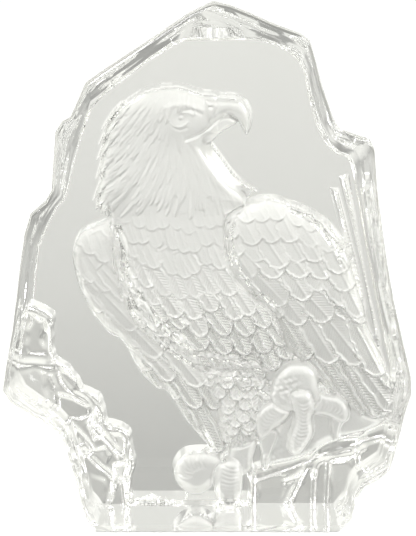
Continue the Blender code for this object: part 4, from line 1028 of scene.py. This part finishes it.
def read_places(mesh):
    """A mesh's points as an array of (x, y, z)."""
    places = np.empty(len(mesh.vertices) * 3, np.float32)
    mesh.vertices.foreach_get("co", places)
    return places.reshape(-1, 3)


def grid_lines(start, end, pitches):
    """Places of the die's grid lines along one axis, closer where its detail is finer."""
    places = [start]
    while places[-1] < end:
        places.append(places[-1] + [pitch for begin, pitch in pitches if places[-1] >= begin][-1])
    return np.array(places)


def make_die(finishes):
    """The figure's die: a fine grid raised to the carving and extruded into a solid."""
    lines_x = grid_lines(-WIDTH / 2 - DIE_MARGIN, WIDTH / 2 + DIE_MARGIN,
                         [(seen_place(u, 0)[0], pitch) for u, pitch in FINE_ACROSS])
    lines_z = -grid_lines(-HEIGHT - DIE_MARGIN, DIE_MARGIN,
                          [(-seen_place(0, v)[2], pitch) for v, pitch in FINE_DOWN])[::-1]
    deselect()
    bpy.ops.mesh.primitive_grid_add(x_subdivisions=len(lines_x) - 1,
                                    y_subdivisions=len(lines_z) - 1)
    die = bpy.context.object
    die.name = "eagle_die"
    x, z = np.meshgrid(lines_x, lines_z)
    relief = carve_figure(x, z)
    carved = np.stack([x, HIGH.y - relief.height * RELIEF_DEPTH, z], -1)
    die.data.vertices.foreach_set("co", carved.astype(np.float32).ravel())
    die.data.update()
    for finish in finishes:
        die.data.materials.append(finish)
    frost = relief.frost[:-1, :-1] + relief.frost[1:, 1:]
    slots = np.where(frost > 1, SATIN, FIRED).astype(np.int32)
    die.data.polygons.foreach_set("material_index", slots.ravel())
    bpy.ops.object.mode_set(mode='EDIT')
    bpy.ops.mesh.select_all(action='SELECT')
    bpy.ops.mesh.extrude_region_move()
    bpy.ops.object.mode_set(mode='OBJECT')
    chosen = np.empty(len(die.data.vertices), bool)
    die.data.vertices.foreach_get("select", chosen)
    places = read_places(die.data)
    places[chosen, 1] = HIGH.y + DIE_BACKING
    die.data.vertices.foreach_set("co", places.ravel())
    face_outwards()
    return die, relief, lines_x, lines_z


def block_corner_rows():
    """Front and back corners in metres, with long spans divided."""
    rows = []
    for this, after in zip(BLOCK_CORNERS, BLOCK_CORNERS[1:] + BLOCK_CORNERS[:1]):
        this, after = np.array(this, float), np.array(after, float)
        pieces = max(1, round(np.hypot(*(after - this)[:2]) / CORNER_STEP))
        rows += [this + (after - this) * step / pieces for step in range(pieces)]
    front_u, front_v, back_u, back_v = np.array(rows).T
    return np.stack(on_face(front_u, front_v), 1), np.stack(on_face(back_u, back_v), 1)


def inward(line):
    """Unit directions that point into a clockwise closed line."""
    along = np.roll(line, -1, 0) - np.roll(line, 1, 0)
    turned = np.stack([along[:, 1], -along[:, 0]], 1)
    return turned / np.hypot(*turned.T)[:, None]


def block_ring(front, back, share, draft, inset):
    """One ring of the side wall, a share of the depth back, with draft and inset by the corner."""
    line = front + (back - front) * draft[:, None]
    moved = line + inward(line) * inset[:, None]
    y = LOW.y + DEPTH * share
    from_face = min(share, 1 - share) * DEPTH
    floor = max(BASE_CHAMFER - from_face, 0.0)
    on_floor = line[:, 1] < BASE_CHAMFER / 10
    z = np.where(on_floor, floor, np.maximum(moved[:, 1], floor))
    return np.stack([moved[:, 0], np.full(len(z), y), z], 1)


def block_rings():
    """All rings of the side wall, from the front face to the back face."""
    front, back = block_corner_rows()
    chance = random.Random(SIDE_SEED)
    even = np.ones(len(front))
    run = np.cumsum(np.hypot(*(np.roll(front, -1, 0) - front).T)) / SQUARE_X
    away = (front[:, 0] / SQUARE_X + SHEET_MIDDLE_U - PEAK_U) / PEAK_REACH
    held = 1 - PEAK_HOLD * np.exp(-away ** 2) * (front[:, 1] > HEIGHT / 2)

    def stray():
        """From -1 to 1, changing slowly along the outline."""
        waves = [np.sin(2 * math.pi * (run / wave + chance.random())) for wave in LEDGE_WAVES]
        return np.clip(sum(waves) / 2, -1, 1)

    bevel, chamfer = FRONT_BEVEL / DEPTH, BASE_CHAMFER / DEPTH
    rings = [block_ring(front, back, bevel * part, 0 * even, FRONT_BEVEL * inset * even)
             for part, inset in FRONT_ROUND]
    rings.append(block_ring(front, back, chamfer, 0 * even, 0 * even))
    for share, draft, most in SIDE_LEDGES:
        inset = LEDGE_DEPTH * (1 + stray()) / 2
        rings.append(block_ring(front, back, share, (draft + most * stray()) * held, inset))
    for share, inset in ((1 - chamfer, 0.0), (1 - BACK_BEVEL / DEPTH, 0.0), (1.0, BACK_BEVEL)):
        rings.append(block_ring(front, back, share, share * even, inset * even))
    return rings


def make_block(finishes):
    """The block: its front outline, extruded ring by ring down a wall of broken ledges."""
    rings = block_rings()
    count = len(rings[0])
    deselect()
    bpy.ops.mesh.primitive_circle_add(vertices=count, radius=WIDTH / 2, fill_type='NGON')
    block = bpy.context.object
    block.name = "carved_crystal"
    block.data.vertices.foreach_set("co", rings[0].astype(np.float32).ravel())
    corner = block.data.attributes.new("corner", 'INT', 'POINT')
    corner.data.foreach_set("value", np.arange(count, dtype=np.int32))
    bpy.ops.object.mode_set(mode='EDIT')
    bpy.ops.mesh.select_all(action='SELECT')
    for ring in rings[1:]:
        bpy.ops.mesh.extrude_region_move()
        form = bmesh.from_edit_mesh(block.data)
        number = form.verts.layers.int["corner"]
        for point in form.verts:
            if point.select:
                point.co = Vector(ring[point[number]])
        bmesh.update_edit_mesh(block.data)
    bpy.ops.object.mode_set(mode='OBJECT')
    face_outwards()
    for finish in finishes:
        block.data.materials.append(finish)
    return block


def cut_away(block, cutter, solver):
    """Cut a solid out of the block and throw the cutter away."""
    choose(block)
    cut = block.modifiers.new("cut", 'BOOLEAN')
    cut.operation = 'DIFFERENCE'
    cut.solver = solver
    cut.object = cutter
    bpy.ops.object.modifier_apply(modifier=cut.name)
    bpy.data.objects.remove(cutter)


def make_facet_cutter(tip, one, other):
    """A wedge whose inner face passes through a facet's tip and both its back corners."""
    tip, one, other = (Vector(seen_place(*spot)) for spot in (tip, one, other))
    outward = (one - tip).cross(other - tip).normalized()
    if outward.dot(tip - Vector((0, tip.y, HEIGHT / 2))) < 0:
        outward.negate()
    wide, long = (other - one) * FACET_MARGIN, ((one + other) / 2 - tip) * FACET_MARGIN
    inner = (tip - wide - long, one - wide + long, tip + wide - long, other + wide + long)
    deselect()
    bpy.ops.mesh.primitive_cube_add(size=1)
    cutter = bpy.context.object
    for number, place in enumerate(inner):
        cutter.data.vertices[2 * number].co = place
        cutter.data.vertices[2 * number + 1].co = place + outward * FACET_BREADTH
    face_outwards()
    cutter.data.materials.append(bpy.data.materials["polished crystal"])
    return cutter


class Value:
    """A shader value: a socket whose sums and products add Math nodes."""

    def __init__(self, tree, socket):
        self.tree, self.socket = tree, socket

    def maths(self, operation, *others):
        return self.tree.node('ShaderNodeMath', dict(operation=operation), *others)

    def __add__(self, other):
        return self.maths('ADD', self, other)

    def __mul__(self, other):
        return self.maths('MULTIPLY', self, other)

    __radd__, __rmul__ = __add__, __mul__


class Tree:
    """The nodes of one material or world."""

    def __init__(self, owner):
        owner.use_nodes = True
        self.nodes, self.links = owner.node_tree.nodes, owner.node_tree.links
        self.nodes.clear()

    def node(self, kind, settings=None, *values, output=0, **named):
        """Add a node: its settings first, then its inputs in order or by name."""
        made = self.nodes.new(kind)
        for name, setting in (settings or {}).items():
            if name == "stops":
                self.set_ramp(made.color_ramp, setting)
            else:
                setattr(made, name, setting)
        for place, value in list(enumerate(values)) + list(named.items()):
            key = place if isinstance(place, int) else place.replace("_", " ")
            if isinstance(value, Value):
                self.links.new(value.socket, made.inputs[key])
            else:
                made.inputs[key].default_value = value
        return Value(self, made.outputs[output]) if made.outputs else None

    def mix(self, share, one, other, blend='MIX'):
        """Mix two colours, each of them a value or (red, green, blue, alpha)."""
        settings = dict(data_type='RGBA', blend_type=blend)
        mixed = self.node('ShaderNodeMix', settings, share, output=2)
        for number, colour in ((6, one), (7, other)):
            if isinstance(colour, Value):
                self.links.new(colour.socket, mixed.socket.node.inputs[number])
            else:
                mixed.socket.node.inputs[number].default_value = colour
        return mixed

    @staticmethod
    def set_ramp(ramp, stops):
        """Place a ramp's stops, given as (place, grey)."""
        while len(ramp.elements) < len(stops):
            ramp.elements.new(1.0)
        for element, (place, grey) in zip(ramp.elements, stops):
            element.position = place
            element.color = (grey, grey, grey, 1.0)


def crystal(name, tint, roughness, bump=0.0, bump_pitch=0.01, clearness=1.0, barbed_and_shaded=False):
    """Clear crystal with one finish: polished, fire-polished or satin with the feathers' barbs and
    painted shade in its colour.
    """
    material = bpy.data.materials.new(name)
    tree = Tree(material)
    place = tree.node('ShaderNodeTexCoord', output="Object")
    waves = tree.node('ShaderNodeTexNoise', None, Vector=place, Scale=1 / bump_pitch, Detail=2.0)
    shader = tree.node('ShaderNodeBsdfPrincipled', None, Base_Color=tint, Roughness=roughness,
                       IOR=REFRACTION, Transmission_Weight=clearness)
    if barbed_and_shaded:
        turn, depth, bloom = (
            tree.node('ShaderNodeAttribute', dict(attribute_name=field), output="Fac")
            for field in ("barb_turn", "barb_depth", "bloom"))
        # The satin's colour is mixed towards the painted shade colour where its points carry
        # painted shade
        tone = tree.mix(bloom, PAINTED_SHADE_TINT, tint)
        tree.links.new(tone.socket, shader.socket.node.inputs["Base Color"])
        waves = waves * GRAIN_SHARE + turn.maths('SINE', turn * (2 * math.pi)) * depth
    if bump:
        bumped = tree.node('ShaderNodeBump', None, Strength=bump, Distance=0.001, Height=waves)
        tree.links.new(bumped.socket, shader.socket.node.inputs["Normal"])
    tree.node('ShaderNodeOutputMaterial', None, Surface=shader)
    return material


def make_finishes():
    """The finishes in the order of their slots: POLISHED, FIRED and SATIN."""
    return (
        crystal("polished crystal", POLISHED_TINT, roughness=0.0),
        crystal("fire polished crystal", FIRED_TINT, roughness=0.02, bump=0.05, bump_pitch=0.008),
        crystal("satin crystal", SATIN_TINT, roughness=0.22, bump=0.2, bump_pitch=0.0008,
                clearness=0.72, barbed_and_shaded=True),
    )


def nearest_line(lines, places):
    """The number of the grid line nearest to each place."""
    after = np.clip(np.searchsorted(lines, places), 1, len(lines) - 1)
    return np.where(places - lines[after - 1] < lines[after] - places, after - 1, after)


def finish_block(block, relief, lines_x, lines_z):
    """Polish the block's flat faces and its chamfered base, fire-polish its sides, and note the
    barbs and the painted shade on its points."""
    mesh = block.data
    middles = np.empty(len(mesh.polygons) * 3, np.float32)
    mesh.polygons.foreach_get("center", middles)
    middles = middles.reshape(-1, 3)
    index = np.empty(len(mesh.polygons), np.int32)
    mesh.polygons.foreach_get("material_index", index)
    hair = DEPTH / 1000
    flat = middles[:, 2] < BASE_CHAMFER * 0.9
    for face in (LOW.y, HIGH.y):
        flat |= np.abs(middles[:, 1] - face) < hair
    index = np.where(flat, POLISHED, np.where(index == SATIN, SATIN, FIRED))
    mesh.polygons.foreach_set("material_index", index.astype(np.int32))
    places = read_places(mesh)
    spot = nearest_line(lines_z, places[:, 2]), nearest_line(lines_x, places[:, 0])
    fields = dict(barb_turn=relief.barb_turn, barb_depth=relief.barb_depth, bloom=relief.tone)
    for name, field in fields.items():
        values = mesh.attributes.new(name, 'FLOAT', 'POINT')
        values.data.foreach_set("value", field[spot].astype(np.float32))
    choose(block)
    bpy.ops.object.shade_smooth_by_angle(angle=math.radians(SHARP_ANGLE))
    mesh.polygons.foreach_set("use_smooth", ~flat)
    mesh.update()


def make_stage():
    """A plain pale floor, which the crystal doesn't show."""
    deselect()
    bpy.ops.mesh.primitive_plane_add(size=12)
    floor = bpy.context.object
    floor.name = "pale_floor"
    material = bpy.data.materials.new("pale floor")
    tree = Tree(material)
    shader = tree.node('ShaderNodeBsdfPrincipled', None, Base_Color=(0.97, 0.97, 0.97, 1),
                       Roughness=0.9)
    tree.node('ShaderNodeOutputMaterial', None, Surface=shader)
    floor.data.materials.append(material)
    floor.location.z = -FLOOR_GAP
    floor.visible_transmission = False


def light_room():
    """White all round for the eye, and soft greys for what the crystal bends and reflects."""
    scene = bpy.context.scene
    world = bpy.data.worlds.new("soft studio")
    scene.world = world
    tree = Tree(world)
    towards = tree.node('ShaderNodeTexCoord', output="Generated")
    height = tree.node('ShaderNodeSeparateXYZ', None, towards, output=2)
    stops = [((sine + 1) / 2, grey) for sine, grey in SURROUNDINGS]
    shade = tree.node('ShaderNodeValToRGB', dict(stops=stops), height * 0.5 + 0.5)
    for aim, reach, left in DARK_CARDS:
        along = tree.node('ShaderNodeVectorMath', dict(operation='DOT_PRODUCT'), towards, aim,
                          output="Value")
        shade = shade * tree.node(
            'ShaderNodeMapRange', dict(interpolation_type='SMOOTHSTEP'), along,
            From_Min=math.sqrt(1 - reach ** 2), From_Max=1.0, To_Min=1.0, To_Max=left)
    tinted = tree.mix(1.0, shade, ROOM_WARMTH, blend='MULTIPLY')
    seen = tree.node('ShaderNodeLightPath', output="Is Camera Ray")
    glow = tree.node('ShaderNodeBackground', None, tree.mix(seen, tinted, WHITE), 1.0)
    tree.node('ShaderNodeOutputWorld', None, glow)
    scene.view_settings.view_transform = 'Standard'
    scene.view_settings.look = 'None'
    scene.cycles.max_bounces = 24
    scene.cycles.transmission_bounces = 20
    scene.cycles.glossy_bounces = 12
    scene.cycles.sample_clamp_indirect = 6.0


def soft_light(name, place, size, watts):
    """A large soft lamp that looks at the block."""
    deselect()
    bpy.ops.object.light_add(type='AREA', location=place)
    lamp = bpy.context.object
    lamp.name = name
    lamp.data.size = size
    lamp.data.energy = watts
    towards = Vector((0, 0, HEIGHT / 2)) - Vector(place)
    lamp.rotation_euler = towards.to_track_quat('-Z', 'Y').to_euler()


def place_camera():
    """The camera that the sheet is drawn from: it looks down at the sheet's middle."""
    pitch = math.radians(CAMERA_PITCH)
    away = SHEET_HALF * math.tan(pitch) * SQUARE_X / SHEET_LEAN
    aside = (PICTURE_MIDDLE_U - SHEET_MIDDLE_U) * SQUARE_X
    place = Vector((aside, LOW.y - away * math.cos(pitch), MIDDLE_Z + away * math.sin(pitch)))
    bpy.ops.object.camera_add(location=place, rotation=(math.pi / 2 - pitch, 0, 0))
    camera = bpy.context.object
    camera.data.sensor_fit = 'VERTICAL'
    camera.data.sensor_height = SENSOR * 1000
    camera.data.lens = away / (SQUARE_X * PICTURE_HEIGHT) * SENSOR * 1000
    camera.data.clip_start = 0.01
    bpy.context.scene.camera = camera


finishes = make_finishes()
block = make_block(finishes)
die, relief, lines_x, lines_z = make_die(finishes)
for facet in FACETS:
    cut_away(block, make_facet_cutter(*facet), 'EXACT')
cut_away(block, die, 'MANIFOLD')
finish_block(block, relief, lines_x, lines_z)
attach(block, "root")
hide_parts("crystal_block")
make_stage()
light_room()
for lamp in LAMPS:
    soft_light(*lamp)
place_camera()
